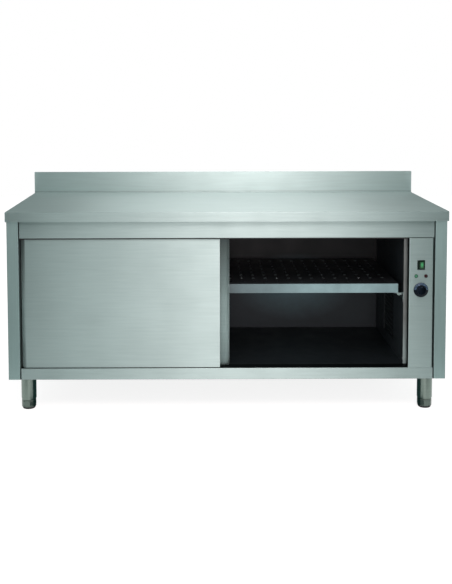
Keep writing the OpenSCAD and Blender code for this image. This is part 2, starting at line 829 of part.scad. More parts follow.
module switch_housing() {
    color(black)
        difference() {
            union() {
                translate([panel_x, yf - switch_bezel_t/2, switch_z])
                    cube([switch_w, switch_bezel_t, switch_h], center = true);
                translate([panel_x, yf + 14 - eps, switch_z])
                    cube([switch_body_w, 28 + eps, switch_body_h], center = true);
            }
            translate([panel_x + rocker_dx, yf + 4, switch_z])
                cube([rocker_w + 2*play, 16, rocker_l + 3*play], center = true);
            rod_x([panel_x + rocker_dx - rocker_w/2 - 1.5, rocker_y, switch_z], rocker_w + 3,
                  rocker_pin_d + 2*shaft_clear);
        }
}

// The rocker, tilted to its on position, with its two pivot pins
module switch_rocker() {
    color("#1f9a4b")
        translate([panel_x + rocker_dx, rocker_y, switch_z]) rotate([rocker_tilt, 0, 0]) {
            along_x(-rocker_w/2, rocker_w/2)
                intersection() {
                    circle(rocker_l/2);
                    rect([-5.5, -rocker_l/2], [4.5, rocker_l/2]);
                }
            rod_x([-rocker_w/2 - 1, 0, 0], rocker_w + 2, rocker_pin_d);
        }
}

// A panel lamp: bezel, lens, barrel and lock nut
module pilot_lamp(x, tint) {
    color(tint) {
        rod_y([x, yf - 2.5, lamp_z], 2.5, lamp_d);
        rod_y([x, yf - 4, lamp_z], 2, lamp_d - 4);
        rod_y([x, yf - eps, lamp_z], 26, lamp_barrel_d);
        translate([x, yf + skin_t, lamp_z]) rotate([-90, 0, 0]) cylinder(h = 4, d = 19, $fn = 6);
    }
}

module thermostat_body() {
    color("#c9c6bd")
        difference() {
            translate([panel_x, yf + skin_t + thermostat_d/2, knob_z])
                cube([thermostat_w, thermostat_d, thermostat_w], center = true);
            rod_y([panel_x, yf, knob_z], skin_t + thermostat_d - 6, knob_shaft_d + 2*shaft_clear);
        }
}

module thermostat_spindle() {
    color("#c9a24a")
        rod_y([panel_x, yf - knob_h + 5, knob_z], knob_h - 5 + skin_t + thermostat_d - 8, knob_shaft_d);
}

// A black knob with a wide skirt and a finger bar
module thermostat_knob() {
    skirt_t = 6;
    color(black)
        difference() {
            union() {
                rod_y([panel_x, yf - play*2 - skirt_t, knob_z], skirt_t, knob_d);
                rod_y([panel_x, yf - play*2 - skirt_t - 3, knob_z], 3 + eps, knob_d*0.62);
                translate([panel_x, yf - play*2 - knob_h/2, knob_z])
                    cube([knob_d*0.2, knob_h, knob_d*0.62], center = true);
            }
            rod_y([panel_x, yf - knob_h + 5, knob_z], knob_h, knob_shaft_d + 2*shaft_clear);
        }
}

// ---------- heating unit ----------

module heater_housing() {
    wall = skin_t;
    color("#9aa1a2")
        difference() {
            union() {
                translate([housing_x0 + housing_d/2, fan_y, fan_z])
                    cube([housing_d, housing_w, housing_w], center = true);
                translate([housing_x0 + wall/2, fan_y, fan_z])
                    cube([wall, housing_w + 24, housing_w + 24], center = true);
            }
            translate([housing_x0 + housing_d/2 - wall, fan_y, fan_z])
                cube([housing_d, housing_w - 2*wall, housing_w - 2*wall], center = true);
            rod_x([housing_x1 - 2*wall, fan_y, fan_z], 4*wall, 3*fan_shaft_d);
            for (side = [-1, 1])
                rod_x([housing_x1 - 2*wall, fan_y + side*element_r*sin(element_gap_a),
                       fan_z - element_r*cos(element_gap_a)], 4*wall, element_d + play);
        }
}

// A ring of tubular element with two straight ends through the housing
module heater_element() {
    end_x0 = element_x - element_d/2;
    end_l = housing_x1 + 12 - end_x0;
    start_a = element_gap_a - asin(element_d/2/element_r);
    collar_t = 3;
    color("#6b6256") {
        translate([element_x, fan_y, fan_z]) rotate([0, 90, 0]) rotate([0, 0, start_a])
            rotate_extrude(angle = 360 - 2*start_a)
                translate([element_r, 0]) circle(d = element_d - 0.4, $fn = 24);
        for (side = [-1, 1]) {
            foot_y = fan_y + side*element_r*sin(element_gap_a);
            foot_z = fan_z - element_r*cos(element_gap_a);
            rod_x([end_x0, foot_y, foot_z], end_l, element_d);
            rod_x([housing_x1 - skin_t - collar_t, foot_y, foot_z], collar_t, element_d + 6);
        }
    }
}

module fan_motor() {
    x = housing_x1;
    color("#4d5356")
        difference() {
            union() {
                rod_x([x, fan_y, fan_z], motor_flange_t, motor_d + 30);
                rod_x([x + motor_flange_t - eps, fan_y, fan_z], motor_l + eps, motor_d);
            }
            rod_x([x - eps, fan_y, fan_z], motor_l - 8, fan_shaft_d + 2*shaft_clear);
        }
}

// A radial fan wheel with its shaft
module fan_rotor() {
    disc_t = 1.5;
    hub_d = 24;
    disc_x = fan_x0 + fan_blade_d;
    color("#a8adae") {
        rod_x([disc_x, fan_y, fan_z], disc_t, fan_d);
        rod_x([disc_x - 12, fan_y, fan_z], 12 + disc_t, hub_d);
        rod_x([fan_x0 + 10, fan_y, fan_z], housing_x1 + motor_l - 14 - fan_x0 - 10, fan_shaft_d);
        for (i = [0 : fan_blades - 1])
            translate([disc_x - fan_blade_d, fan_y, fan_z]) rotate([i*360/fan_blades, 0, 0])
                translate([0, -disc_t/2, fan_d*0.3]) cube([fan_blade_d + disc_t/2, disc_t, fan_d*0.19]);
    }
}

module air_grille() {
    plate_t = 1.5;
    count = floor((grille_hole_w - 10)/grille_pitch);
    color(steel)
        difference() {
            block([housing_x0, fan_y - grille_plate_w/2, fan_z - grille_plate_w/2],
                  [housing_x0 + plate_t, fan_y + grille_plate_w/2, fan_z + grille_plate_w/2]);
            for (i = [0 : count - 1])
                for (j = [0 : count - 1])
                    rod_x([housing_x0 - eps, fan_y + (i - (count - 1)/2)*grille_pitch,
                           fan_z + (j - (count - 1)/2)*grille_pitch], plate_t + 2*eps, grille_hole_d);
        }
}

module terminal_block() {
    ways = 5;
    way_w = 12;
    color("#e2ded0")
        translate([panel_x - ways*way_w/2, terminal_y, pan_z])
            difference() {
                cube([ways*way_w, 22, 18]);
                for (i = [0 : ways - 1])
                    translate([(i + 0.5)*way_w, 11, 10]) cylinder(h = 10, d = 6);
            }
}

// The inlet for the supply cable, under the base pan
module cable_gland() {
    color(black)
        translate([gland_x, gland_y, 0])
            difference() {
                union() {
                    translate([0, 0, carcass_z - 6]) cylinder(h = 6, d = 28, $fn = 6);
                    translate([0, 0, carcass_z - 24]) cylinder(h = 18.5, d1 = 18, d2 = 24);
                    translate([0, 0, carcass_z - eps]) cylinder(h = 10, d = 20);
                    translate([0, 0, pan_z]) cylinder(h = 5, d = 27, $fn = 6);
                }
                translate([0, 0, carcass_z - 25]) cylinder(h = 40, d = gland_bore_d);
            }
}

worktop();
worktop_board();
top_stretchers();
side_panel();  // side_panel_left
mirror([1, 0, 0]) side_panel();  // side_panel_right
back_panel();
base_pan();
top_rail();
bottom_rail();
control_panel();
liner_left();
liner_right();
liner_back();
liner_floor();
liner_ceiling();
insulation();
door_track();
floor_guide();
door_buffers();
shelf_runner(chamber_x0, -1);  // shelf_runner_left
shelf_runner(chamber_x1, 1);  // shelf_runner_right
runner_screws();
leg_plates();
leg_nuts();
leg_sleeves();
foot(LEGS[0]);  // foot_front_left
foot(LEGS[1]);  // foot_front_right
foot(LEGS[2]);  // foot_rear_left
foot(LEGS[3]);  // foot_rear_right
door_skin_sheet(left_x0, left_x1, front_door_y);  // left_door_skin
door_back_sheet(left_x0, left_x1, front_door_y);  // left_door_back
door_core_slab(left_x0, left_x1, front_door_y);  // left_door_core
door_hangers(left_rollers, front_door_y);  // left_door_hangers
door_channel(left_x0, left_x1, front_door_y);  // left_door_channel
as_right_door() door_skin_sheet(right_x0, right_x1, rear_door_y);  // right_door_skin
as_right_door() door_back_sheet(right_x0, right_x1, rear_door_y);  // right_door_back
as_right_door() door_core_slab(right_x0, right_x1, rear_door_y);  // right_door_core
door_hangers(right_rollers, rear_door_y);  // right_door_hangers
as_right_door() door_channel(right_x0, right_x1, rear_door_y);  // right_door_channel
roller(left_rollers[0], front_door_y);  // roller_left_1
roller(left_rollers[1], front_door_y);  // roller_left_2
roller(right_rollers[0], rear_door_y);  // roller_right_1
roller(right_rollers[1], rear_door_y);  // roller_right_2
shelf();
switch_housing();
switch_rocker();
pilot_lamp(panel_x - lamp_pitch/2, "#2fa463");  // pilot_lamp_green
pilot_lamp(panel_x + lamp_pitch/2, "#5a1618");  // pilot_lamp_red
thermostat_body();
thermostat_spindle();
thermostat_knob();
heater_housing();
heater_element();
fan_motor();
fan_rotor();
air_grille();
terminal_block();
cable_gland();
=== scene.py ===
"""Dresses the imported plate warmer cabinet: finishes, finer pieces, studio light and camera.

Lengths are in metres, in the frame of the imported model: X to the right, Y to the back, Z up.
"""
import logging
import math
from dataclasses import dataclass
from enum import Enum
from functools import cache
from typing import Callable, Iterable, Protocol, Sequence

import bmesh
import bpy
from mathutils import Matrix, Vector


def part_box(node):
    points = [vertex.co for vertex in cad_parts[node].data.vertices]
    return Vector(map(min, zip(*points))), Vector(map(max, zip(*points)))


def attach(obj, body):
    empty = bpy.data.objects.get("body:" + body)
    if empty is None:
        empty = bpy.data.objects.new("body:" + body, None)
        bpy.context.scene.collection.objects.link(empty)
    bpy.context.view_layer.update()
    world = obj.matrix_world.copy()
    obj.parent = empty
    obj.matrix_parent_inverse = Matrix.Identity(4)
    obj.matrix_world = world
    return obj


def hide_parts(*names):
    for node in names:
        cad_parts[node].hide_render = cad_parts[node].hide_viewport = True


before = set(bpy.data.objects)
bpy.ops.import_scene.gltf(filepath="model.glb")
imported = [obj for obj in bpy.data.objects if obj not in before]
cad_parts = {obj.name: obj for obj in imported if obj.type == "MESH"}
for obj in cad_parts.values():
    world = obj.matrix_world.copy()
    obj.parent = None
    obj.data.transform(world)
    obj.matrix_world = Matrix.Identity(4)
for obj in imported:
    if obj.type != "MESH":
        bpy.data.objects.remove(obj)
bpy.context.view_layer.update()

log = logging.getLogger("plate_warmer")

MM = 0.001
BLACK = (0.0, 0.0, 0.0, 1.0)
WHITE = (1.0, 1.0, 1.0, 1.0)

Pair = tuple[float, float]
Triple = tuple[float, float, float]
Colour = tuple[float, float, float, float]
Mesh = bmesh.types.BMesh
Socket = bpy.types.NodeSocket
Material = bpy.types.Material


# ---------- node and colour helpers ----------


def linear(hex_code: str, gain: float = 1.0) -> Colour:
    """Turns an sRGB colour into the linear one that the shaders use.

    Args:
        hex_code: the colour as "#RRGGBB".
        gain: factor on the linear values, for a lighter or darker shade of the same colour.

    Returns:
        Linear red, green, blue and an alpha of 1.
    """
    channels = [int(hex_code[i:i + 2], 16) / 255 for i in (1, 3, 5)]
    values = [c / 12.92 if c <= 0.04045 else ((c + 0.055) / 1.055) ** 2.4 for c in channels]
    red, green, blue = (min(1.0, v * gain) for v in values)
    return red, green, blue, 1.0


class Nodes:
    """A tree of shader nodes."""

    def __init__(self, tree: bpy.types.NodeTree) -> None:
        """Takes a tree and empties it."""
        self.tree = tree
        tree.nodes.clear()

    def add(self, kind: str, inputs: dict | Sequence = (), out: str = "", **settings) -> Socket | None:
        """Adds one node with its settings and links.

        Args:
            kind: Blender's name of the node type, without its ShaderNode.
            inputs: a socket or a plain value for inputs by name, or for those that the node shows, in order.
            out: the output that is wanted, if not the first that the node shows.
            settings: properties of the node.

        Returns:
            The output, or None for a node without one.
        """
        node = self.tree.nodes.new(f"ShaderNode{kind}")
        for name, value in settings.items():
            setattr(node, name, value)
        if isinstance(inputs, dict):
            fed = [(node.inputs[name], value) for name, value in inputs.items()]
        else:
            fed = list(zip([s for s in node.inputs if s.enabled], inputs))
        for socket, value in fed:
            if isinstance(value, Socket):
                self.tree.links.new(value, socket)
            else:
                socket.default_value = value
        return next((s for s in node.outputs if s.enabled and out in ("", s.name)), None)


class Canvas(Nodes):
    """A new material with its shader, and the places and patterns that finishes are drawn with."""

    def __init__(self, name: str) -> None:
        """Makes the material, its shader and its output.

        Args:
            name: name of the material.
        """
        self.material = bpy.data.materials.new(name)
        self.material.use_nodes = True
        super().__init__(self.material.node_tree)
        self.shader = self.add("BsdfPrincipled").node
        self.output = self.tree.nodes.new("ShaderNodeOutputMaterial")
        self.tree.links.new(self.shader.outputs[0], self.output.inputs["Surface"])
        self.place = self.add("TexCoord", out="Object")
        self.normal = self.add("NewGeometry", out="Normal")
        self.x, self.y, self.z = self.add("SeparateXYZ", (self.place,)).node.outputs

    def blotches(self, size_mm: float | Sequence[float], detail: float = 3.0, rough: float = 0.55) -> Socket:
        """Draws a pattern of soft blotches.

        Args:
            size_mm: length of a blotch, the same all ways or along X, Y and Z.
            detail: number of finer layers.
            rough: strength of the finer layers.

        Returns:
            The pattern, from 0 to 1.
        """
        sizes = size_mm if isinstance(size_mm, Sequence) else (size_mm,) * 3
        scaled = self.add("Mapping", {"Vector": self.place, "Scale": [1 / (s * MM) for s in sizes]})
        return self.add("TexNoise", {"Vector": scaled, "Scale": 1.0, "Detail": detail, "Roughness": rough})

    def mixed(self, first: Socket, share: float, second: Socket) -> Socket:
        """Adds two patterns up.

        Args:
            first: the first pattern.
            share: its share, the rest being the second's.
            second: the second pattern.

        Returns:
            The sum of both, from 0 to 1.
        """
        shares = ((first, share), (second, 1 - share))
        parts = [self.add("Math", pair, operation="MULTIPLY") for pair in shares]
        return self.add("Math", parts, operation="ADD")

    def shades(self, pattern: Socket, span: Pair, colour: str, gains: Pair) -> Socket:
        """Colours a pattern in two shades of one colour.

        Args:
            pattern: the pattern.
            span: the pattern's value at the dark shade and at the light one.
            colour: the colour, as sRGB.
            gains: the factor on it for the dark shade and for the light one.

        Returns:
            The colour.
        """
        share = self.add("MapRange", (pattern, *span, 0.0, 1.0))
        return self.add("Mix", (share, *(linear(colour, g) for g in gains)), data_type="RGBA")

    def spot(self, middle: Triple, reach_mm: Triple) -> Socket:
        """Finds a soft spot.

        Args:
            middle: its middle, in metres.
            reach_mm: how far it reaches along X, Y and Z.

        Returns:
            1 in its middle and 0 outside it.
        """
        away = self.add("VectorMath", (self.place, middle), operation="SUBTRACT")
        scaled = self.add("VectorMath", (away, [1 / (r * MM) for r in reach_mm]), operation="MULTIPLY")
        distance = self.add("VectorMath", (scaled,), operation="LENGTH")
        core = 0.15
        return self.add("MapRange", (distance, core, 1.0, 1.0, 0.0))

    def paint_edges(self, surface: Socket, radius_mm: float, colour: Colour) -> Socket:
        """Paints the piece's sharp edges in another colour: a lighter one there is partly rubbed wear and
        partly a painted highlight, a darker one is painted shade in folds and corners.

        Args:
            surface: the colour away from the edges.
            radius_mm: how far from an edge the painted colour reaches.
            colour: the colour on the edges.

        Returns:
            The colour with its painted edges.
        """
        rounded = self.add("Bevel", (radius_mm * MM,), samples=4)
        likeness = self.add("VectorMath", (rounded, self.normal), operation="DOT_PRODUCT")
        sharp, flat = 0.8, 0.99
        edge = self.add("MapRange", (likeness, sharp, flat, 1.0, 0.0))
        return self.add("Mix", (edge, surface, colour), data_type="RGBA")

    def finished(self, relief: Socket | None = None, relief_mm: float = 0.0, **sockets) -> Material:
        """Sets or links the shader's inputs and returns the material.

        Args:
            relief: the pattern that is raised, if any.
            relief_mm: how high it stands.
            sockets: values or sockets by input name, with _ for each blank.

        Returns:
            The finished material.
        """
        if relief is not None:
            inputs = {"Height": relief, "Distance": relief_mm * MM, "Strength": 1.0}
            sockets["Normal"] = self.add("Bump", inputs)
        for name, value in sockets.items():
            target = self.shader.inputs[name.replace("_", " ")]
            if isinstance(value, Socket):
                self.tree.links.new(value, target)
            else:
                target.default_value = value
        return self.material


# ---------- finishes ----------


class Finish(Protocol):
    """What every finish below can do."""

    def build(self) -> Material:
        """Returns the finish's material."""


class Grain(Enum):
    """Direction of a sheet's or tube's brushing, leaning a hair so that folded ends have a grain too."""

    ALONG_X = (1.0, 0.0, 0.003)
    ALONG_Y = (0.0, 1.0, 0.003)
    ALONG_Z = (0.0, 0.003, 1.0)
    # The grain of a tube that was ground as it turned, given by the axis that it turned on
    AROUND_Z = (0.003, 0.0, 1.0)

    def stroke_mm(self, width_mm: float, length_mm: float) -> list[float]:
        """Returns a stroke's size along X, Y and Z, as long as wide across both ways round a tube."""
        if self is Grain.AROUND_Z:
            return [length_mm, length_mm, width_mm]
        return [length_mm if share > 0.5 else width_mm for share in self.value]


@dataclass(frozen=True)
class BrushedStainless:
    """AISI 304 stainless sheet, belt-brushed: long fine scratches that pull highlights out across them."""

    grain: Grain
    colour: str = "#9FB3B1"
    roughness: float = 0.5
    anisotropy: float = 0.93
    name: str = "stainless_304_brushed"
    # Where along X a grip, brushed along its own length, starts and ends
    grip: Pair | None = None
    # Painted shade darkens a grip at its top under the rail and towards its foot. Along Z: top, where it
    # gets bright, where it dulls again, foot.
    grip_z: tuple[float, float, float, float] = (0.71, 0.45, 0.32, 0.18)
    grip_painted_shade: Triple = (0.28, 1.0, 0.64)
    # Painted shade: from where along Y a ledge behind the doors is painted nearly black, and how soon it is
    shaded_from: float | None = None
    shade_edge: float = 1.0 * MM
    shade_colour: str = "#0B0F10"
    # Painted light: from what height the sheet is painted brighter, and how soon it is
    painted_light_from: float | None = None
    painted_light_edge: float = 4.0 * MM
    painted_light_gain: float = 1.3
    # Belt scratches are 0.1 mm wide. They are drawn 1.2 mm wide to show, in bundles of 9 mm.
    scratch_mm: float = 1.2
    bundle_mm: float = 9.0
    scratch_length_mm: float = 160.0
    scratch_depth_mm: float = 0.012
    scratch_share: float = 0.6
    handling_mm: float = 170.0
    edge_paint_mm: float = 0.9

    def build(self) -> Material:
        """Returns the brushed material."""
        canvas = Canvas(f"{self.name}_{self.grain.name.lower()}")
        fine = canvas.blotches(self.grain.stroke_mm(self.scratch_mm, self.scratch_length_mm), 4.0)
        bundles = canvas.blotches(self.grain.stroke_mm(self.bundle_mm, self.scratch_length_mm), 2.0)
        handling = canvas.blotches(self.handling_mm)
        strokes = canvas.mixed(fine, self.scratch_share, bundles)
        sheet = canvas.shades(strokes, (0.3, 0.7), self.colour, (0.92, 1.08))
        # Sharp edges painted lighter: partly rubbed wear, partly a painted highlight
        sheet = canvas.paint_edges(sheet, self.edge_paint_mm, linear(self.colour, 1.35))
        # Painted light: above the given height the sheet is painted brighter
        if self.painted_light_from is not None:
            span = (self.painted_light_from, self.painted_light_from + self.painted_light_edge, 1.0, self.painted_light_gain)
            painted_light = canvas.add("MapRange", (canvas.z, *span))
            sheet = canvas.add("Mix", (1.0, sheet, painted_light), data_type="RGBA", blend_type="MULTIPLY")
        # Painted shade: behind the given depth the sheet is painted nearly black
        if self.shaded_from is not None:
            span = (self.shaded_from - self.shade_edge, self.shaded_from + self.shade_edge, 0.0, 1.0)
            shade_share = canvas.add("MapRange", (canvas.y, *span))
            sheet = canvas.add("Mix", (shade_share, sheet, linear(self.shade_colour)), data_type="RGBA")
        # Painted shade on the grip's top and foot
        if self.grip:
            sheet = self.shade_grip(canvas, sheet)
        scratched = canvas.add("MapRange", (fine, 0.3, 0.7, self.roughness - 0.05, self.roughness + 0.05))
        greased = canvas.add("MapRange", (handling, 0.4, 0.7, 0.0, 0.04))
        rough = canvas.add("Math", (scratched, greased), operation="ADD")
        across = canvas.add("VectorMath", (canvas.normal, self.direction(canvas)), operation="CROSS_PRODUCT")
        return canvas.finished(
            fine, self.scratch_depth_mm, Base_Color=sheet, Metallic=1.0, Roughness=rough,
            Anisotropic=self.anisotropy, Tangent=across,
        )

    def direction(self, canvas: Canvas) -> Socket | Triple:
        """Finds the direction of the scratches.

        Args:
            canvas: the material.

        Returns:
            The direction, the same everywhere or worked out at each point.
        """
        if self.grain is Grain.AROUND_Z:
            return canvas.add("VectorMath", (self.grain.value, canvas.normal), operation="CROSS_PRODUCT")
        if self.grip:
            ways = (self.grain.value, Grain.ALONG_Z.value)
            return canvas.add("Mix", (self.on_grip(canvas), *ways), data_type="VECTOR")
        return self.grain.value

    def on_grip(self, canvas: Canvas) -> Socket:
        """Finds the grip.

        Args:
            canvas: the material.

        Returns:
            1 on the grip and 0 beside it.
        """
        start, end = self.grip
        after = canvas.add("Math", (canvas.x, start), operation="GREATER_THAN")
        before = canvas.add("Math", (canvas.x, end), operation="LESS_THAN")
        return canvas.add("Math", (after, before), operation="MULTIPLY")

    def shade_grip(self, canvas: Canvas, sheet: Socket) -> Socket:
        """Paints shade on the ends of the grip: darker at its top under the rail and towards its foot.

        Args:
            canvas: the material.
            sheet: the colour of the sheet.

        Returns:
            The colour, with painted shade on the grip's top and foot.
        """
        head, bright, dull, foot = self.grip_z
        top, middle, low = self.grip_painted_shade
        upper = canvas.add("MapRange", (canvas.z, bright, head, middle, top))
        lower = canvas.add("MapRange", (canvas.z, foot, dull, low, middle))
        shade = canvas.add("Math", (upper, lower), operation="MINIMUM")
        grip = canvas.add("Mix", (1.0, sheet, shade), data_type="RGBA", blend_type="MULTIPLY")
        return canvas.add("Mix", (self.on_grip(canvas), sheet, grip), data_type="RGBA")


@dataclass(frozen=True)
class RolledMetal:
    """Unbrushed metal: cold-rolled, drawn, plated or turned, with soft clouds and fine tool lines."""

    name: str
    colour: str
    roughness: float = 0.42
    line_axis: Grain = Grain.ALONG_X
    line_mm: float = 2.5
    line_depth_mm: float = 0.006
    line_share: float = 0.4
    # A roll's line is this many times as long as it is wide
    line_stretch: float = 40.0
    cloud_mm: float = 60.0
    contrast: float = 0.12
    edge_gain: float = 1.3
    edge_paint_mm: float = 0.7

    def build(self) -> Material:
        """Returns the metal material."""
        canvas = Canvas(self.name)
        lines = canvas.blotches(self.line_axis.stroke_mm(self.line_mm, self.line_stretch * self.line_mm))
        clouds = canvas.blotches(self.cloud_mm, 4.0)
        mixed = canvas.mixed(lines, self.line_share, clouds)
        sheet = canvas.shades(mixed, (0.35, 0.65), self.colour, (1 - self.contrast, 1 + self.contrast))
        # Sharp edges painted lighter: partly rubbed wear, partly a painted highlight
        sheet = canvas.paint_edges(sheet, self.edge_paint_mm, linear(self.colour, self.edge_gain))
        rough = canvas.add("MapRange", (clouds, 0.3, 0.7, self.roughness - 0.06, self.roughness + 0.06))
        return canvas.finished(lines, self.line_depth_mm, Base_Color=sheet, Metallic=1.0, Roughness=rough)


@dataclass(frozen=True)
class ChamberSheet:
    """AISI 430 liner sheet, whose open front stays grey while further in it is painted dark as painted
    shade.
    """

    name: str = "stainless_430_painted_shade"
    clean: str = "#7B8583"
    shade_low: str = "#262F33"
    shade_high: str = "#0A1214"
    roughness: float = 0.45
    # The painted shade starts behind the front fold of the liner, and is darkest above the shelf
    front_mm: float = -268.0
    deep_mm: float = -262.0
    low_mm: float = 330.0
    high_mm: float = 560.0
    # Clouds bring the painted shade's start down by up to this much
    cloud_lift_mm: float = 60.0
    cloud_mm: float = 90.0
    line_mm: float = 3.0
    line_stretch: float = 40.0
    line_depth_mm: float = 0.006
    # How metallic the sheet is; the rest of it is dull
    metal: float = 0.6
    # Painted light that brightens the foot of the front fold towards the sill: from where to where along Z
    foot_light_from: float = 0.175
    foot_light_to: float | None = None
    foot_light: str = "#B4CECC"
    # Where along X painted shade reaches onto the front fold, and how much of it is there
    shaded_x: Pair | None = None
    shaded_x_share: float = 0.75
    # A painted pool of light on the wall: its middle and its reach
    light_spot_at: Triple = (0.34, 0.33, 0.37)
    light_spot_mm: Triple = (290.0, 150.0, 165.0)
    light_spot: str = "#43595F"
    edge_paint_mm: float = 0.7

    def build(self) -> Material:
        """Returns the liner material."""
        canvas = Canvas(self.name)
        clouds = canvas.blotches(self.cloud_mm, 4.0)
        line_l = self.line_stretch * self.line_mm
        lines = canvas.blotches((line_l, line_l, self.line_mm))
        clean = linear(self.clean)
        # Painted light: the front fold is painted brighter towards the sill
        if self.foot_light_to is not None:
            fade = canvas.add("MapRange", (canvas.z, self.foot_light_from, self.foot_light_to, 1.0, 0.0))
            clean = canvas.add("Mix", (fade, clean, linear(self.foot_light)), data_type="RGBA")
        # Painted shade: further in, the sheet is painted dark
        sheet = canvas.add("Mix", (self.depth(canvas), clean, self.inner_shade(canvas, clouds)), data_type="RGBA")
        shade = canvas.add("MapRange", (clouds, 0.3, 0.7, 0.82, 1.18))
        sheet = canvas.add("Mix", (1.0, sheet, shade), data_type="RGBA", blend_type="MULTIPLY")
        # Folds and corners painted darker, as painted shade
        sheet = canvas.paint_edges(sheet, self.edge_paint_mm, linear(self.clean, 0.5))
        rough = canvas.add("MapRange", (clouds, 0.3, 0.7, self.roughness - 0.05, self.roughness + 0.08))
        return canvas.finished(
            lines, self.line_depth_mm, Base_Color=sheet, Metallic=self.metal, Roughness=rough
        )

    def inner_shade(self, canvas: Canvas, clouds: Socket) -> Socket:
        """Returns the colour of the painted shade.

        Args:
            canvas: the material.
            clouds: the pattern that makes the painted shade uneven.

        Returns:
            The colour, darker upwards, with a painted pool of light on the wall.
        """
        lift = canvas.add("Math", (clouds, self.cloud_lift_mm * MM), operation="MULTIPLY")
        height = canvas.add("Math", (canvas.z, lift), operation="ADD")
        rise = canvas.add("MapRange", (height, self.low_mm * MM, self.high_mm * MM, 0.0, 1.0))
        shades = (linear(self.shade_low), linear(self.shade_high))
        inner_shade = canvas.add("Mix", (rise, *shades), data_type="RGBA")
        near = canvas.spot(self.light_spot_at, self.light_spot_mm)
        return canvas.add("Mix", (near, inner_shade, linear(self.light_spot)), data_type="RGBA")

    def depth(self, canvas: Canvas) -> Socket:
        """Finds how much painted shade covers each point.

        Args:
            canvas: the material.

        Returns:
            Its share at each point, from 0 to 1.
        """
        depth = canvas.add("MapRange", (canvas.y, self.front_mm * MM, self.deep_mm * MM, 0.0, 1.0))
        if not self.shaded_x:
            return depth
        side_shade = canvas.add("MapRange", (canvas.x, *self.shaded_x, self.shaded_x_share, 0.0))
        return canvas.add("Math", (depth, side_shade), operation="MAXIMUM")


@dataclass(frozen=True)
class MouldedPolymer:
    """Injection-moulded plastic or rubber with the fine pitted skin of a spark-eroded mould."""

    name: str
    colour: str
    roughness: float
    # Pits of a spark-eroded mould are 0.05 mm wide. They are drawn 0.5 mm wide to show.
    pit_mm: float = 0.5
    pit_depth_mm: float = 0.01
    ior: float = 1.5
    # The melt's flow leaves faint clouds of this size
    flow_mm: float = 12.0
    sheen: Triple = (1.0, 1.0, 1.0)
    # Colour, strength, place and reach of a small lamp that lights the plastic from inside
    glow_colour: str = "#FFFFFF"
    glow: float = 0.0
    glow_at: Triple = (0.0, 0.0, 0.0)
    glow_mm: Triple = (1.0, 1.0, 1.0)
    edge_paint_mm: float = 0.4

    def build(self) -> Material:
        """Returns the plastic material."""
        canvas = Canvas(self.name)
        pits = canvas.blotches(self.pit_mm, 2.0)
        body = canvas.shades(canvas.blotches(self.flow_mm), (0.3, 0.7), self.colour, (0.82, 1.15))
        # Sharp edges painted lighter, as a painted highlight
        body = canvas.paint_edges(body, self.edge_paint_mm, linear(self.colour, 1.7))
        rough = canvas.add("MapRange", (pits, 0.3, 0.7, self.roughness - 0.05, self.roughness + 0.07))
        look = {"Base_Color": body, "Roughness": rough, "IOR": self.ior, "Specular_Tint": (*self.sheen, 1.0)}
        if self.glow:
            near = canvas.spot(self.glow_at, self.glow_mm)
            lit = linear(self.glow_colour)
            look["Emission_Color"] = canvas.add("Mix", (near, BLACK, lit), data_type="RGBA")
            look["Emission_Strength"] = self.glow
        return canvas.finished(pits, self.pit_depth_mm, **look)


@dataclass(frozen=True)
class MineralWool:
    """Pressed mineral wool: short bound fibres in a matted, crumbly face."""

    name: str = "mineral_wool_slab"
    colour: str = "#B9AD8C"
    # Fibres are 0.006 mm thick. Their bundles are drawn 2 mm thick to show.
    fibre_mm: float = 2.0
    fibre_stretch: float = 6.0
    tuft_mm: float = 14.0
    tuft_h_mm: float = 0.8

    def build(self) -> Material:
        """Returns the wool material."""
        canvas = Canvas(self.name)
        fibre_l = self.fibre_stretch * self.fibre_mm
        fibres = canvas.blotches((fibre_l, fibre_l, self.fibre_mm), 5.0, 0.7)
        raised = canvas.add("Math", (canvas.blotches(self.tuft_mm, 4.0), 0.5), operation="ADD")
        tufts = canvas.add("Math", (fibres, raised), operation="MULTIPLY")
        wool = canvas.shades(tufts, (0.25, 0.75), self.colour, (0.6, 1.2))
        return canvas.finished(tufts, self.tuft_h_mm, Base_Color=wool, Roughness=0.95)


@dataclass(frozen=True)
class Chipboard:
    """Raw chipboard: flakes of light and dark wood pressed in resin."""

    name: str = "chipboard_raw"
    colour: str = "#A98A5E"
    flake_mm: float = 6.0
    flake_h_mm: float = 0.3

    def build(self) -> Material:
        """Returns the chipboard material."""
        canvas = Canvas(self.name)
        inputs = {"Vector": canvas.place, "Scale": 1 / (self.flake_mm * MM), "Randomness": 1.0}
        flakes = canvas.add("TexVoronoi", inputs).node.outputs
        tone = canvas.add("SeparateColor", (flakes["Color"],))
        board = canvas.shades(tone, (0.0, 1.0), self.colour, (0.65, 1.3))
        rough = canvas.add("MapRange", (tone, 0.0, 1.0, 0.7, 0.9))
        return canvas.finished(flakes["Distance"], self.flake_h_mm, Base_Color=board, Roughness=rough)


@dataclass(frozen=True)
class StudioCard:
    """A plain card that the studio holds up, which shows one even grey in reflections."""

    name: str
    strength: float
    tint: Triple = (0.38, 1.0, 0.98)

    def build(self) -> Material:
        """Returns the card's material."""
        glow = {"Emission_Color": (*self.tint, 1.0), "Emission_Strength": self.strength}
        return Canvas(self.name).finished(Base_Color=BLACK, Roughness=1.0, **glow)


@cache
def material_of(finish: Finish) -> Material:
    """Returns the material of a finish, made once."""
    return finish.build()


# Satin grey sheet with long streaks, whose highlight spreads wide across the grain
BRUSHED_Y = BrushedStainless(Grain.ALONG_Y)
# The same sheet, whose upstand at the back is painted a shade brighter than the worktop, as painted light
WORKTOP_SHEET = BrushedStainless(Grain.ALONG_X, name="stainless_304_worktop", painted_light_from=0.832)
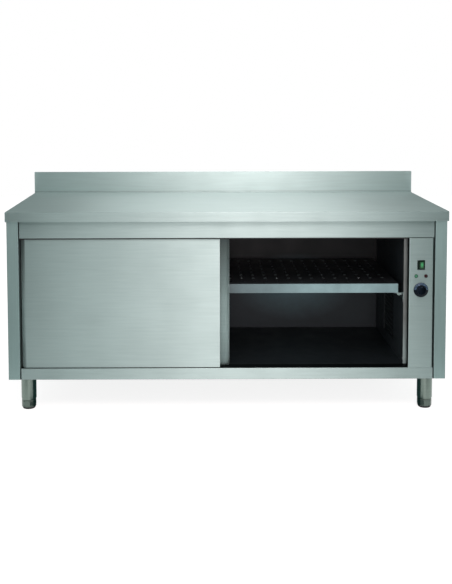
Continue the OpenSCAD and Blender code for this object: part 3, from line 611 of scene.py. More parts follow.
# The same sheet, painted nearly black as painted shade where it runs in behind the doors
LEDGE_SHEET = BrushedStainless(Grain.ALONG_X, name="stainless_304_shaded_ledge", shaded_from=-0.327)
# Side sheet with upright grain: painted darker than the front sheet as painted shade, and its highlight
# hardly drawn out
BRUSHED_Z = BrushedStainless(Grain.ALONG_Z, anisotropy=0.3, colour="#879F9D")
# Tube ground as it turned: painted darker still as painted shade, with a sharp upright highlight between
# dark flanks
POLISHED_TUBE = BrushedStainless(
    Grain.AROUND_Z, colour="#74827B", roughness=0.3, anisotropy=0.3, name="stainless_tube_ground"
)
# Cold-rolled 2B sheet: a cloudy grey, duller than brushed sheet and without its streaks
MILL_SHEET = RolledMetal("stainless_304_mill_2b", "#808A8A", roughness=0.38)
# Liner sheet: a grey front edge round a cave painted dark as painted shade, with a painted pool of light on
# its wall
LINER_SHEET = ChamberSheet()
# The wall at the control column: its front fold is a pale strip with painted light that brightens it towards
# the sill, and painted shade further in
PANEL_SIDE_LINER = ChamberSheet(
    "stainless_430_panel_side", foot_light_to=0.36, shade_low="#434D52", shade_high="#40494F"
)
# The shelf: a bright lip, with painted shade on its left end, in front of a deck painted almost black as
# painted shade
SHELF_SHEET = ChamberSheet(
    "stainless_304_shelf_painted_shade", clean="#7C9A9D", shade_low="#23272A", shade_high="#2C3034", roughness=0.36,
    metal=0.4, shaded_x=(0.0, 0.42),
)
# Pressed rims: small rings painted bright as a painted highlight on some rows, and painted dark as painted
# shade elsewhere
PAINTED_HIGHLIGHT_RIM = RolledMetal("stainless_304_rim_painted_highlight", "#C0CBCC", roughness=0.35, line_mm=0.5, cloud_mm=5.0)
PAINTED_SHADE_RIM = RolledMetal("stainless_304_rim_painted_shade", "#1C2022", roughness=0.45, line_mm=0.5, cloud_mm=5.0)
# Zinc plate: pale, slightly mottled and brighter on its edges
ZINC_PLATE = RolledMetal(
    "steel_zinc_plated", "#9BA3A6", roughness=0.34, line_mm=1.0, cloud_mm=8.0, contrast=0.2
)
# Extruded aluminium: the palest metal, with straight die lines
DRAWN_ALUMINIUM = RolledMetal("aluminium_extruded", "#B9BEBF", roughness=0.33, line_mm=1.0)
# Turned brass: a warm yellow with fine rings from the tool
TURNED_BRASS = RolledMetal(
    "brass_turned", "#C9A24A", roughness=0.25, line_axis=Grain.ALONG_Y, line_mm=0.5, cloud_mm=10
)
# Ground bearing steel: near mirror, with sharp small highlights
BEARING_STEEL = RolledMetal("bearing_steel_ground", "#A6ACAE", roughness=0.2, line_mm=0.6, cloud_mm=6.0)
# Element sheath: brown scale in strong blotches, hardly shining
ELEMENT_SHEATH = RolledMetal(
    "alloy_sheath_scaled", "#6A5D50", roughness=0.5, line_mm=1.5, cloud_mm=12.0, contrast=0.35
)
# Satin foot: a darker grey than its tube, with upright tool lines on its flats
FOOT_STEEL = RolledMetal(
    "stainless_foot_satin", "#5F6B65", roughness=0.33, line_axis=Grain.ALONG_Z, line_mm=0.8
)
# Sprayed enamel: dark grey with the slow ripple of orange peel
MOTOR_ENAMEL = MouldedPolymer("enamel_sprayed_grey", "#4D5356", roughness=0.38, pit_mm=1.5, flow_mm=30)
# Nylon: an even, slightly waxy half gloss, black or off-white
BLACK_NYLON = MouldedPolymer("nylon_66_black", "#202225", roughness=0.48)
WHITE_NYLON = MouldedPolymer("nylon_66_natural", "#CFCDC2", roughness=0.45)
# Rubber: dull black that only its edges catch light on
BLACK_RUBBER = MouldedPolymer("rubber_epdm_black", "#191A1B", roughness=0.75)
SOLE_RUBBER = MouldedPolymer("rubber_sole_black", "#121616", roughness=0.7)
# Phenolic knob: blue-black with a faint cool sheen along its flutes
KNOB_PHENOLIC = MouldedPolymer(
    "phenolic_black_gloss", "#04060A", roughness=0.34, pit_depth_mm=0.004, sheen=(0.1, 0.16, 0.25)
)
# Switch housing: green-black and half glossy, so that its bezel reads as a dark frame
SWITCH_NYLON = MouldedPolymer(
    "nylon_black_semi_gloss", "#060A08", roughness=0.4, sheen=(0.25, 0.42, 0.36)
)
# Lit rocker: deep green that glows in its middle
ROCKER_GREEN = MouldedPolymer(
    "polycarbonate_green_lit", "#0A4021", roughness=0.3, ior=1.58, flow_mm=6,
    glow_colour="#4FC77A", glow=0.52, glow_at=(0.7965, -0.335, 0.6025), glow_mm=(7.5, 30.0, 13.0),
)
# Lamp lenses: glossy, with a dark ring round a lighter green core, and one all dark red
LENS_GREEN = MouldedPolymer(
    "polycarbonate_green_ring", "#0B4A30", roughness=0.3, flow_mm=3, sheen=(0.3, 0.6, 0.5)
)
LENS_CORE = MouldedPolymer("polycarbonate_green_lens", "#337A59", roughness=0.2, ior=1.58, flow_mm=3)
LENS_RED = MouldedPolymer(
    "polycarbonate_red_lens", "#26060B", roughness=0.3, flow_mm=3, sheen=(0.4, 0.3, 0.33)
)
# Pad-printed inks: flat and matt on the gloss under them
ROCKER_INK = MouldedPolymer("ink_pad_printed_green_grey", "#6FA684", roughness=0.55, pit_depth_mm=0.004)
# Painted sheen: a dark blue sector on the upper arc of the knob's cone, matt like an ink
DIAL_PAINTED_SHEEN = MouldedPolymer("painted_sheen_dark_blue", "#1D3A50", roughness=0.5, pit_depth_mm=0.004)
# Pad-printed ink of the dial's marks and numbers
DIAL_INK = MouldedPolymer("ink_pad_printed_pale_blue", "#8FA8C4", roughness=0.55, pit_depth_mm=0.004)


# ---------- mesh helpers ----------


def lathe(
    mesh: Mesh,
    profile: Sequence[Pair],
    place: Matrix,
    segments: int = 48,
    shape: Callable[[float, float], float] | None = None,
) -> None:
    """Turns a profile round an axis.

    Args:
        mesh: the mesh that gets the faces.
        profile: radius and height of each ring, in metres, from one end to the other.
        place: where the axis, the local Z, stands.
        segments: number of faces round the axis.
        shape: factor on the radius for an angle and a height, for flutes and facets.
    """
    tip_r = 1e-7
    rings = []
    for radius, height in profile:
        ring = []
        for i in range(segments if radius > tip_r else 1):
            angle = 2 * math.pi * i / segments
            reach = radius * (shape(angle, height) if shape else 1.0)
            point = Vector((reach * math.cos(angle), reach * math.sin(angle), height))
            ring.append(mesh.verts.new(place @ point))
        rings.append(ring)
    for lower, upper in zip(rings, rings[1:]):
        for i in range(segments):
            j = (i + 1) % segments
            corners = [lower[i % len(lower)], lower[j % len(lower)]]
            corners += [upper[j % len(upper)], upper[i % len(upper)]]
            unique = list(dict.fromkeys(corners))
            if len(unique) > 2:
                mesh.faces.new(unique)


def soft_box(
    mesh: Mesh, low: Sequence[float], high: Sequence[float], radius: float, place: Matrix = Matrix()
) -> None:
    """Adds a box with rounded edges.

    Args:
        mesh: the mesh that gets the faces.
        low: its lowest corner before it is placed.
        high: its highest corner before it is placed.
        radius: radius of the edges.
        place: where the box stands.
    """
    low, high = Vector(low), Vector(high)
    size = Matrix.Diagonal((*(high - low), 1.0))
    made = bmesh.ops.create_cube(mesh, size=1.0, matrix=place @ Matrix.Translation((low + high) / 2) @ size)
    edges = list({e for v in made["verts"] for e in v.link_edges})
    bmesh.ops.bevel(mesh, geom=edges, offset=radius, segments=3, profile=0.5, affect="EDGES")


def along_y(point: Sequence[float]) -> Matrix:
    """Returns a place at a point, with its local Z towards the viewer in front of the cabinet."""
    return Matrix.Translation(point) @ Matrix.Rotation(math.pi / 2, 4, "X")


def along_x(point: Sequence[float], sign: float) -> Matrix:
    """Returns a place at a point, with its local Z along X, or against it if sign is negative."""
    return Matrix.Translation(point) @ Matrix.Rotation(math.copysign(math.pi / 2, sign), 4, "Y")


def middle(node: str) -> Vector:
    """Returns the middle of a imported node."""
    low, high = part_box(node)
    return (low + high) / 2


def finish_mesh(name: str, mesh: Mesh, crease_deg: float = 32.0) -> bpy.types.Object:
    """Makes an object of a mesh, smooth except at its creases.

    Args:
        name: name of the object.
        mesh: the mesh, which is freed.
        crease_deg: angle from which an edge stays sharp.

    Returns:
        The object, linked to the scene.
    """
    bmesh.ops.recalc_face_normals(mesh, faces=mesh.faces)
    for face in mesh.faces:
        face.smooth = True
    for edge in mesh.edges:
        edge.smooth = edge.calc_face_angle(0.0) < math.radians(crease_deg)
    data = bpy.data.meshes.new(name)
    mesh.to_mesh(data)
    mesh.free()
    made = bpy.data.objects.new(name, data)
    bpy.context.scene.collection.objects.link(made)
    return made


def islands(node: str) -> list[tuple[Vector, Vector]]:
    """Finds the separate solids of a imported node.

    Args:
        node: name of the node.

    Returns:
        The lowest and highest corner of each solid.
    """
    mesh = bmesh.new()
    mesh.from_mesh(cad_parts[node].data)
    bmesh.ops.remove_doubles(mesh, verts=mesh.verts, dist=1e-6)
    left = set(mesh.verts)
    found = []
    while left:
        stack = [left.pop()]
        group = [stack[0].co.copy()]
        while stack:
            for edge in stack.pop().link_edges:
                for vert in left.intersection(edge.verts):
                    left.remove(vert)
                    stack.append(vert)
                    group.append(vert.co.copy())
        low = Vector(min(p[i] for p in group) for i in range(3))
        high = Vector(max(p[i] for p in group) for i in range(3))
        found.append((low, high))
    mesh.free()
    return sorted(found, key=lambda pair: tuple(round(c, 4) for c in pair[0]))


def hole_centres(node: str, diameter: float) -> list[Vector]:
    """Finds the round holes in the top of a packed sheet.

    Args:
        node: name of the node.
        diameter: diameter of its holes.

    Returns:
        The middle of each hole.
    """
    low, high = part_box(node)
    rim = {}
    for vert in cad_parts[node].data.vertices:
        inside = all(low[i] + diameter < vert.co[i] < high[i] - diameter for i in (0, 1))
        if inside and abs(vert.co.z - high.z) < 1e-5:
            rim[(round(vert.co.x, 5), round(vert.co.y, 5))] = vert.co.copy()
    groups: list[list[Vector]] = []
    for point in rim.values():
        near = next((g for g in groups if (g[0] - point).length < diameter * 1.05), None)
        if near is None:
            groups.append([point])
        else:
            near.append(point)
    fewest_points = 7
    return [sum(g, Vector()) / len(g) for g in groups if len(g) >= fewest_points]


class Assembly:
    """One sub-assembly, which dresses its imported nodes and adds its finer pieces."""

    body = "cabinet"

    def dress(self, finish: Finish, nodes: Iterable[str]) -> None:
        """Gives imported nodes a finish.

        Args:
            finish: the finish.
            nodes: names of the nodes.
        """
        for name in nodes:
            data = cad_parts[name].data
            data.materials.clear()
            data.materials.append(material_of(finish))
            log.info("%s keeps its shape and takes %s", name, material_of(finish).name)

    def keep(
        self,
        made: bpy.types.Object,
        finish: Finish,
        slot: str,
        replaces: Sequence[str] = (),
        body: str | None = None,
    ) -> None:
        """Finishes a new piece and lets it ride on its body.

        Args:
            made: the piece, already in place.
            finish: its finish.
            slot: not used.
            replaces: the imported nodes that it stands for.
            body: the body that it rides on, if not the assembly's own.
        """
        made.data.materials.append(material_of(finish))
        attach(made, body or self.body)
        if replaces:
            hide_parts(*replaces)
        log.info("%s rides on %s", made.name, body or self.body)


# ---------- worktop and carcass ----------


@dataclass
class Worktop(Assembly):
    """The folded worktop with its splashback, its board and the stretchers under it."""

    def build(self) -> None:
        """Dresses the worktop's nodes."""
        self.dress(WORKTOP_SHEET, ["worktop"])
        self.dress(Chipboard(), ["worktop_board"])
        self.dress(MILL_SHEET, ["top_stretchers"])


@dataclass
class Carcass(Assembly):
    """Side panels with their posts, rails, base pan and back panel."""

    rivet_d: float = 5.0 * MM
    rivet_h: float = 1.2 * MM
    rivet_sink: float = 0.2 * MM
    rivet_inset: float = 14.0 * MM
    rivet_pitch: float = 150.0 * MM
    seal_t: float = 3.0 * MM
    seal_h: float = 4.5 * MM
    seal_edge_r: float = 0.6 * MM
    # The lip starts past the left post, ends short of the control panel and stands behind the rail's face
    seal_start: float = 49.5 * MM
    seal_end_gap: float = 1.5 * MM
    seal_setback: float = 1.2 * MM
    seal_sink: float = 0.1 * MM

    def build(self) -> None:
        """Dresses the carcass, adds the black lip under its rail that stands in for its shadow, and rivets
        its back panel.
        """
        self.dress(BRUSHED_Z, ["side_panel_left", "side_panel_right"])
        self.dress(LEDGE_SHEET, ["top_rail", "bottom_rail"])
        self.dress(MILL_SHEET, ["back_panel", "base_pan"])
        self.seal()
        self.rivets()

    def seal(self) -> None:
        """Adds a black rubber lip under the top rail: a dark piece that stands in for the shadow line that
        the rail casts on the front door.
        """
        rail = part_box("top_rail")[0]
        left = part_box("side_panel_left")[0].x + self.seal_start
        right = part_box("control_panel")[0].x - self.seal_end_gap
        front = rail.y + self.seal_setback
        mesh = bmesh.new()
        low = (left, front, rail.z - self.seal_h)
        high = (right, front + self.seal_t, rail.z + self.seal_sink)
        soft_box(mesh, low, high, self.seal_edge_r)
        self.keep(finish_mesh("top_rail_shade_lip", mesh), BLACK_RUBBER, "black_rubber")

    def rivets(self) -> None:
        """Adds the dome rivets round the edge of the back panel."""
        low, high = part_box("back_panel")
        width, height = high.x - low.x - 2 * self.rivet_inset, high.z - low.z - 2 * self.rivet_inset
        columns, rows = round(width / self.rivet_pitch), round(height / self.rivet_pitch)
        radius, rise = self.rivet_d / 2, self.rivet_h
        arc = [(radius * math.cos(a), rise * math.sin(a)) for a in (0, 0.4, 0.8, 1.2)]
        profile = [(radius, -self.rivet_sink), *arc, (0.0, rise)]
        mesh = bmesh.new()
        for i in range(columns + 1):
            for j in range(rows + 1):
                if i in (0, columns) or j in (0, rows):
                    x = low.x + self.rivet_inset + width * i / columns
                    z = low.z + self.rivet_inset + height * j / rows
                    place = Matrix.Translation((x, high.y, z)) @ Matrix.Rotation(-math.pi / 2, 4, "X")
                    lathe(mesh, profile, place, segments=16)
        self.keep(finish_mesh("back_panel_rivets", mesh), ZINC_PLATE, "plated_steel")


@dataclass
class Chamber(Assembly):
    """The heated chamber: liner, wool, shelf and shelf runners."""

    screw_d: float = 8.0 * MM
    screw_h: float = 2.4 * MM
    # How boxy the screw's dome is: 2 would be an ellipse
    dome_power: float = 2.4
    recess_w: float = 1.3 * MM
    recess_r: float = 2.6 * MM
    recess_depth: float = 1.0 * MM
    hole_d: float = 12.0 * MM
    # A rim is a half tube round its hole: its radius, its height, how far it stands off the hole, its sink
    rim_tube: float = 1.0 * MM
    rim_h: float = 0.8 * MM
    rim_offset: float = 0.4 * MM
    rim_sink: float = 0.05 * MM
    # Rows whose rims are painted bright as a painted highlight: where each such band starts and ends along Y
    highlight_rows: tuple[Pair, ...] = ((-0.175, -0.03), (0.2, 0.3))

    def build(self) -> None:
        """Dresses the chamber and adds its screws and the shelf's pressed rims."""
        self.dress(LINER_SHEET, ["liner_left", "liner_back", "liner_floor", "liner_ceiling"])
        self.dress(PANEL_SIDE_LINER, ["liner_right"])
        self.dress(MineralWool(), ["insulation"])
        self.dress(SHELF_SHEET, ["shelf"])
        self.dress(BRUSHED_Y, ["shelf_runner_left", "shelf_runner_right"])
        self.screws()
        self.hole_rims()

    def screw_head(self, mesh: Mesh, place: Matrix) -> None:
        """Adds one dome screw with a cross recess.

        Args:
            mesh: the mesh that gets the screw.
            place: the middle of the seat, with the local Z out of the wall.
        """
        segments, rings = 40, 14
        grid = []
        for k in range(rings + 1):
            radius = self.screw_d / 2 * k / rings
            row = []
            for i in range(segments if k else 1):
                angle = 2 * math.pi * i / segments
                x, y = radius * math.cos(angle), radius * math.sin(angle)
                height = self.screw_h * math.sqrt(max(0.0, 1 - (k / rings) ** self.dome_power))
                if min(abs(x), abs(y)) < self.recess_w / 2 and radius < self.recess_r:
                    height -= self.recess_depth
                row.append(mesh.verts.new(place @ Vector((x, y, height))))
            grid.append(row)
        for inner, outer in zip(grid, grid[1:]):
            for i in range(segments):
                j = (i + 1) % segments
                corners = [inner[i % len(inner)], outer[i], outer[j], inner[j % len(inner)]]
                mesh.faces.new(list(dict.fromkeys(corners)))

    def screws(self) -> None:
        """Replaces the plain screws by dome screws with cross recesses, each where its own was."""
        mesh = bmesh.new()
        for low, high in islands("runner_screws"):
            centre = (low + high) / 2
            sign = -1.0 if centre.x > 0 else 1.0
            seat = Vector((high.x if sign < 0 else low.x, centre.y, centre.z))
            self.screw_head(mesh, along_x(seat, sign))
        self.keep(finish_mesh("runner_dome_screws", mesh, 25), ZINC_PLATE, "plated_steel", ["runner_screws"])

    def hole_rims(self) -> None:
        """Adds the pressed rim round each hole of the shelf, painted bright as a painted highlight on some
        rows and dark as painted shade on the rest.
        """
        meshes = {PAINTED_HIGHLIGHT_RIM: bmesh.new(), PAINTED_SHADE_RIM: bmesh.new()}
        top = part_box("shelf")[1].z
        radius = self.hole_d / 2 + self.rim_offset
        turns = [math.pi * k / 4 for k in range(5)]
        profile = [(radius - self.rim_tube * math.cos(t), self.rim_h * math.sin(t)) for t in turns]
        for centre in hole_centres("shelf", self.hole_d):
            highlighted = any(start < centre.y < end for start, end in self.highlight_rows)
            place = Matrix.Translation((centre.x, centre.y, top - self.rim_sink))
            lathe(meshes[PAINTED_HIGHLIGHT_RIM if highlighted else PAINTED_SHADE_RIM], profile, place, segments=20)
        for finish, name in ((PAINTED_HIGHLIGHT_RIM, "shelf_rims_painted_highlight"), (PAINTED_SHADE_RIM, "shelf_rims_painted_shade")):
            self.keep(finish_mesh(name, meshes[finish], 60), finish, "brushed_stainless", body="shelf")


@dataclass
class SlidingDoors(Assembly):
    """Both doors with their running gear, the track and the floor guide."""

    # How far the rounded grip, with its painted shade at top and foot, reaches in from the door's edge
    left_grip_w: float = 18.0 * MM
    right_grip_w: float = 40.0 * MM
    # A grip's finish goes on past the door's edge, where there is nothing
    grip_beyond: float = 1.0

    def skin_finish(self, side: str) -> BrushedStainless:
        """Brushes the front sheet of a door, whose rounded grip is brushed along its own length and painted
        darker at its top and foot as painted shade.

        Args:
            side: "left" or "right".

        Returns:
            The finish of the sheet.
        """
        low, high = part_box(f"{side}_door_skin")
        if side == "left":
            grip = (low.x - self.grip_beyond, low.x + self.left_grip_w)
        else:
            grip = (high.x - self.right_grip_w, high.x + self.grip_beyond)
        return BrushedStainless(Grain.ALONG_X, name=f"stainless_door_{side}", grip=grip)

    def build(self) -> None:
        """Dresses the doors, rollers, track, guide and buffers."""
        for side in ("left", "right"):
            self.dress(self.skin_finish(side), [f"{side}_door_skin"])
            self.dress(MILL_SHEET, [f"{side}_door_back", f"{side}_door_channel"])
            self.dress(MineralWool(), [f"{side}_door_core"])
            self.dress(ZINC_PLATE, [f"{side}_door_hangers"])
            self.dress(BEARING_STEEL, [f"roller_{side}_{i}" for i in (1, 2)])
        self.dress(DRAWN_ALUMINIUM, ["door_track"])
        self.dress(BLACK_NYLON, ["floor_guide"])
        self.dress(BLACK_RUBBER, ["door_buffers"])


# ---------- controls ----------


class Lamp(Enum):
    """The two pilot lamps: the node and slot of each, and the finishes of its ring and lens."""

    GREEN = ("pilot_lamp_green", "green_lens", LENS_GREEN, LENS_CORE)
    RED = ("pilot_lamp_red", "red_lens", LENS_RED, LENS_RED)


@dataclass
class Controls(Assembly):
    """The control panel with its switch, pilot lamps and thermostat."""

    # Knob
    skirt_r: float = 30.0 * MM
    skirt_t: float = 2.4 * MM
    cone_r: float = 19.6 * MM
    cone_h: float = 10.6 * MM
    hub_r: float = 18.2 * MM
    hub_h: float = 15.4 * MM
    bar_w: float = 10.0 * MM
    bar_edge_r: float = 1.3 * MM
    bore_r: float = 3.2 * MM
    flutes: int = 24
    # A flute's depth, as a share of the hub's radius
    flute_share: float = 0.035
    # Scale printed on the cone
    scale_turn_deg: float = 165.0
    scale_steps: int = 12
    mark_r: float = 28.8 * MM
    mark_long: float = 3.6 * MM
    mark_short: float = 2.2 * MM
    mark_w: float = 0.9 * MM
    digit_h: float = 4.0 * MM
    digit_r: float = 23.0 * MM
    # The numbers stand this much closer together than the marks
    digit_spread: float = 0.92
    ink_t: float = 0.12 * MM
    ink_edge_r: float = 0.05 * MM
    ink_sink: float = 0.3 * MM
    # The dark blue sector of painted sheen under the scale: its radii, how far it runs past the scale, its
    # thickness and sink
    field_r: Pair = (21.2 * MM, 28.9 * MM)
    field_extra_deg: float = 8.0
    field_t: float = 0.05 * MM
    field_sink: float = 0.2 * MM
    # Pilot lamps
    lamp_ring_r: float = 7.5 * MM
    lamp_ring_w: float = 2.2 * MM
    lamp_ring_h: float = 2.5 * MM
    lamp_barrel_r: float = 6.0 * MM
    lamp_nut_r: float = 9.3 * MM
    lamp_nut_z: Pair = (-1.3 * MM, -5.0 * MM)
    # The barrel's thread is drawn as plain rings: their depth as a share of its radius, and their ripple
    lamp_ring_share: float = 0.02
    lamp_ripple: float = 0.16 * MM
    lens_gap: float = 0.1 * MM
    lens_rim_h: float = 0.9 * MM
    lens_ribs: int = 20
    lens_rib_share: float = 0.025
    # Switch
    pin_reach: float = 1.0 * MM
    pin_r: float = 1.5 * MM
    cut_gap: float = 0.4 * MM
    cut_half_h: float = 15.4 * MM
    switch_wall: float = 2.5 * MM
    switch_depth: float = 14.0 * MM
    rocker_tilt_deg: float = 7.0
    rocker_half_h: float = 14.4 * MM
    rocker_crown: float = 5.3 * MM
    rocker_dish: float = 0.9 * MM
    rocker_back: float = 3.5 * MM
    rocker_edge_r: float = 0.7 * MM
    # Its back is this share of its front's height
    rocker_taper: float = 0.93
    rocker_pivot_y: float = 2.0 * MM

    def build(self) -> None:
        """Dresses the panel and its hidden parts, and builds what shows in front of it."""
        self.dress(LEDGE_SHEET, ["control_panel"])
        self.dress(WHITE_NYLON, ["thermostat_body", "terminal_block"])
        self.dress(TURNED_BRASS, ["thermostat_spindle"])
        self.knob()
        for lamp in Lamp:
            self.pilot_lamp(lamp)
        self.switch()
        self.rocker()

    @property
    def cone_foot(self) -> Pair:
        """Radius and height of the cone's outer end."""
        return self.skirt_r - 0.8 * MM, self.skirt_t + 0.3 * MM

    @property
    def cone_head(self) -> Pair:
        """Radius and height of the cone's inner end."""
        return self.cone_r + 0.8 * MM, self.cone_h - 0.5 * MM

    def knob(self) -> None:
        """Builds the knob: conical skirt, fluted hub and finger bar, with its printed scale."""
        low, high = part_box("thermostat_knob")
        centre = middle("thermostat_knob")
        place = along_y((centre.x, high.y, centre.z))
        depth = high.y - low.y
        mesh = bmesh.new()
        skirt = [
            (self.bore_r, 0.0), (self.skirt_r - 0.4 * MM, 0.0), (self.skirt_r, 0.4 * MM),
            (self.skirt_r, self.skirt_t - 0.8 * MM), (self.skirt_r - 0.25 * MM, self.skirt_t - 0.2 * MM),
        ]
        cone = [self.cone_foot, self.cone_head, (self.cone_r, self.cone_h), (self.bore_r, self.cone_h)]
        lathe(mesh, [*skirt, *cone], place, segments=96)

        def flute(angle: float, height: float) -> float:
            """Returns the hub's fluting."""
            return 1.0 - self.flute_share * (0.5 + 0.5 * math.cos(self.flutes * angle))

        top = self.hub_h
        hub = [
            (self.hub_r, self.cone_h - 1.0 * MM), (self.hub_r, top - 1.4 * MM),
            (self.hub_r - 0.4 * MM, top - 0.5 * MM), (self.hub_r - 1.6 * MM, top), (0.0, top),
        ]
        lathe(mesh, hub, place, segments=self.flutes * 6, shape=flute)
        half_w, half_l = self.bar_w / 2, self.hub_r - 1.6 * MM
        soft_box(mesh, (-half_w, -half_l, top - 2 * MM), (half_w, half_l, depth), self.bar_edge_r, place)
        knob = finish_mesh("thermostat_knob_moulding", mesh)
        self.keep(knob, KNOB_PHENOLIC, "black_gloss", ["thermostat_knob"], "thermostat_knob")
        # Painted sheen on the cone's upper arc
        sheen_field = finish_mesh("dial_painted_sheen", self.sheen_field(place))
        self.keep(sheen_field, DIAL_PAINTED_SHEEN, "black_gloss", body="thermostat_knob")
        self.scale(place, depth)

    def on_cone(self, place: Matrix, turn: float, radius: float) -> Matrix:
        """Finds a place on the knob's cone.

        Args:
            place: the knob's axis.
            turn: angle round the axis from the top, in radians.
            radius: distance from the axis.

        Returns:
            The place, with its local Y up the cone's slope and its local Z out of it.
        """
        (foot_r, foot_h), (head_r, head_h) = self.cone_foot, self.cone_head
        slope = math.atan2(head_h - foot_h, foot_r - head_r)
        height = foot_h + (foot_r - radius) * math.tan(slope)
        spot = Matrix.Rotation(turn, 4, "Z") @ Matrix.Translation((0.0, radius, height))
        return place @ spot @ Matrix.Rotation(-slope, 4, "X")

    def sheen_field(self, place: Matrix) -> Mesh:
        """Draws the dark blue sector that the scale stands on: a painted sheen on the cone's upper arc.

        Args:
            place: the knob's axis.

        Returns:
            The mesh of the thin sector.
        """
        mesh = bmesh.new()
        steps = 40
        inner, outer = self.field_r
        foot, top = -self.field_sink, self.field_t
        section = ((inner, foot), (inner, top), (outer, top), (outer, foot))
        rows = []
        for k in range(steps + 1):
            turn = math.radians(self.scale_turn_deg + self.field_extra_deg) * (0.5 - k / steps)
            places = [self.on_cone(place, turn, r) @ Vector((0.0, 0.0, rise)) for r, rise in section]
            rows.append([mesh.verts.new(p) for p in places])
        for first, second in zip(rows, rows[1:]):
            for i in range(4):
                j = (i + 1) % 4
                mesh.faces.new((first[i], first[j], second[j], second[i]))
        mesh.faces.new(rows[0])
        mesh.faces.new(rows[-1])
        return mesh

    def scale(self, place: Matrix, depth: float) -> None:
        """Prints the marks and numbers of the dial on the cone, and the pointer's line on the finger bar.

        Args:
            place: the knob's axis.
            depth: height of the knob's front above its seat.
        """
        mesh = bmesh.new()
        for i in range(self.scale_steps + 1):
            turn = math.radians(self.scale_turn_deg) * (0.5 - i / self.scale_steps)
            low = (-self.mark_w / 2, -(self.mark_long if i % 4 == 0 else self.mark_short), -self.ink_sink)
            high = (self.mark_w / 2, 0.0, self.ink_t)
            soft_box(mesh, low, high, self.ink_edge_r, self.on_cone(place, turn, self.mark_r))
        line_half_w, line_t = 0.3 * MM, 0.02 * MM
        low = (-line_half_w, self.hub_r - 4 * MM, depth - self.ink_sink)
        soft_box(mesh, low, (line_half_w, self.hub_r - 2 * MM, depth + line_t), self.ink_edge_r, place)
        self.keep(finish_mesh("dial_marks", mesh), DIAL_INK, "white_nylon", body="thermostat_knob")
        for i, number in enumerate(("30", "50", "70", "90")):
            turn = math.radians(self.scale_turn_deg) * (0.5 - i / 3) * self.digit_spread
            text = bpy.data.curves.new(f"dial_number_{number}", "FONT")
            text.body = number
            text.size = self.digit_h
            text.align_x, text.align_y = "CENTER", "CENTER"
            text.extrude = self.ink_t
            made = bpy.data.objects.new(text.name, text)
            bpy.context.scene.collection.objects.link(made)
            made.matrix_world = self.on_cone(place, turn, self.digit_r)
            self.keep(made, DIAL_INK, "white_nylon", body="thermostat_knob")

    def pilot_lamp(self, lamp: Lamp) -> None:
        """Builds one pilot lamp: ring, ribbed lens, threaded barrel and nut.

        Args:
            lamp: which of the two.
        """
        node, slot, ring_finish, lens_finish = lamp.value
        low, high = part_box(node)
        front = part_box("control_panel")[0].y
        place = along_y((middle(node).x, front, middle(node).z))
        proud, back = front - low.y, front - high.y
        outer, inner, top = self.lamp_ring_r, self.lamp_ring_r - self.lamp_ring_w, self.lamp_ring_h
        mesh = bmesh.new()
        ring = [
            (inner, -0.4 * MM), (inner, top - 0.5 * MM), (inner + 0.4 * MM, top), (outer - 0.9 * MM, top),
            (outer - 0.2 * MM, top - 0.6 * MM), (outer, 0.3 * MM), (outer, 0.0), (inner, 0.0),
        ]
        lathe(mesh, ring, place, segments=48)
        barrel_r = self.lamp_barrel_r
        barrel = [(barrel_r, 0.1 * MM), (barrel_r, back + 1 * MM), (barrel_r - 1 * MM, back), (0.0, back)]
        share, ripple = self.lamp_ring_share, self.lamp_ripple
        lathe(mesh, barrel, place, 32, lambda angle, height: 1 + share * math.cos(height / ripple))
        nut_r, (nut_top, nut_foot) = self.lamp_nut_r, self.lamp_nut_z
        nut = [(barrel_r, nut_top), (nut_r, nut_top), (nut_r, nut_foot), (barrel_r, nut_foot)]
        lathe(mesh, nut, place, segments=6)
        self.keep(finish_mesh(f"{node}_ring", mesh), ring_finish, slot, [node])
        dome = bmesh.new()
        steps = 8
        lens_r, rim_h = inner - self.lens_gap, self.lens_rim_h
        angles = [math.pi / 2 * k / steps for k in range(steps + 1)]
        crown = [(lens_r * math.cos(a), rim_h + (proud - rim_h) * math.sin(a)) for a in angles]
        ribs, rib = self.lens_ribs, self.lens_rib_share
        profile = [(lens_r, -0.3 * MM), *crown]
        lathe(dome, profile, place, 40, lambda angle, height: 1 + rib * math.cos(ribs * angle))
        self.keep(finish_mesh(f"{node}_lens", dome), lens_finish, slot)

    def switch(self) -> None:
        """Builds the rocker switch's bezel and housing."""
        low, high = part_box("switch_housing")
        rocker_low, rocker_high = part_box("switch_rocker")
        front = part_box("control_panel")[0].y
        x0 = rocker_low.x + self.pin_reach - self.cut_gap
        x1 = rocker_high.x - self.pin_reach + self.cut_gap
        z0, z1 = middle("switch_housing").z - self.cut_half_h, middle("switch_housing").z + self.cut_half_h
        lap, wall, sunk, back = 1 * MM, self.switch_wall, front - 0.4 * MM, front + self.switch_depth
        bar_r, wall_r = 0.5 * MM, 0.3 * MM
        boxes = [
            # The bezel's bars: left, right, foot and head
            ((low.x, low.y, low.z), (x0, front, high.z), bar_r),
            ((x1, low.y, low.z), (high.x, front, high.z), bar_r),
            ((x0 - lap, low.y, low.z), (x1 + lap, front, z0), bar_r),
            ((x0 - lap, low.y, z1), (x1 + lap, front, high.z), bar_r),
            # The housing's walls: left, right, back, foot and head
            ((low.x + wall, sunk, low.z + wall), (x0, back, high.z - wall), wall_r),
            ((x1, sunk, low.z + wall), (high.x - wall, back, high.z - wall), wall_r),
            ((x0 - wall, back - lap, low.z + wall), (x1 + wall, high.y, high.z - wall), bar_r),
            ((x0 - lap, sunk, low.z + wall), (x1 + lap, back, z0), wall_r),
            ((x0 - lap, sunk, z1), (x1 + lap, back, high.z - wall), wall_r),
        ]
        mesh = bmesh.new()
        for first, second, radius in boxes:
            soft_box(mesh, first, second, radius)
        self.keep(finish_mesh("switch_bezel", mesh), SWITCH_NYLON, "black_gloss", ["switch_housing"])

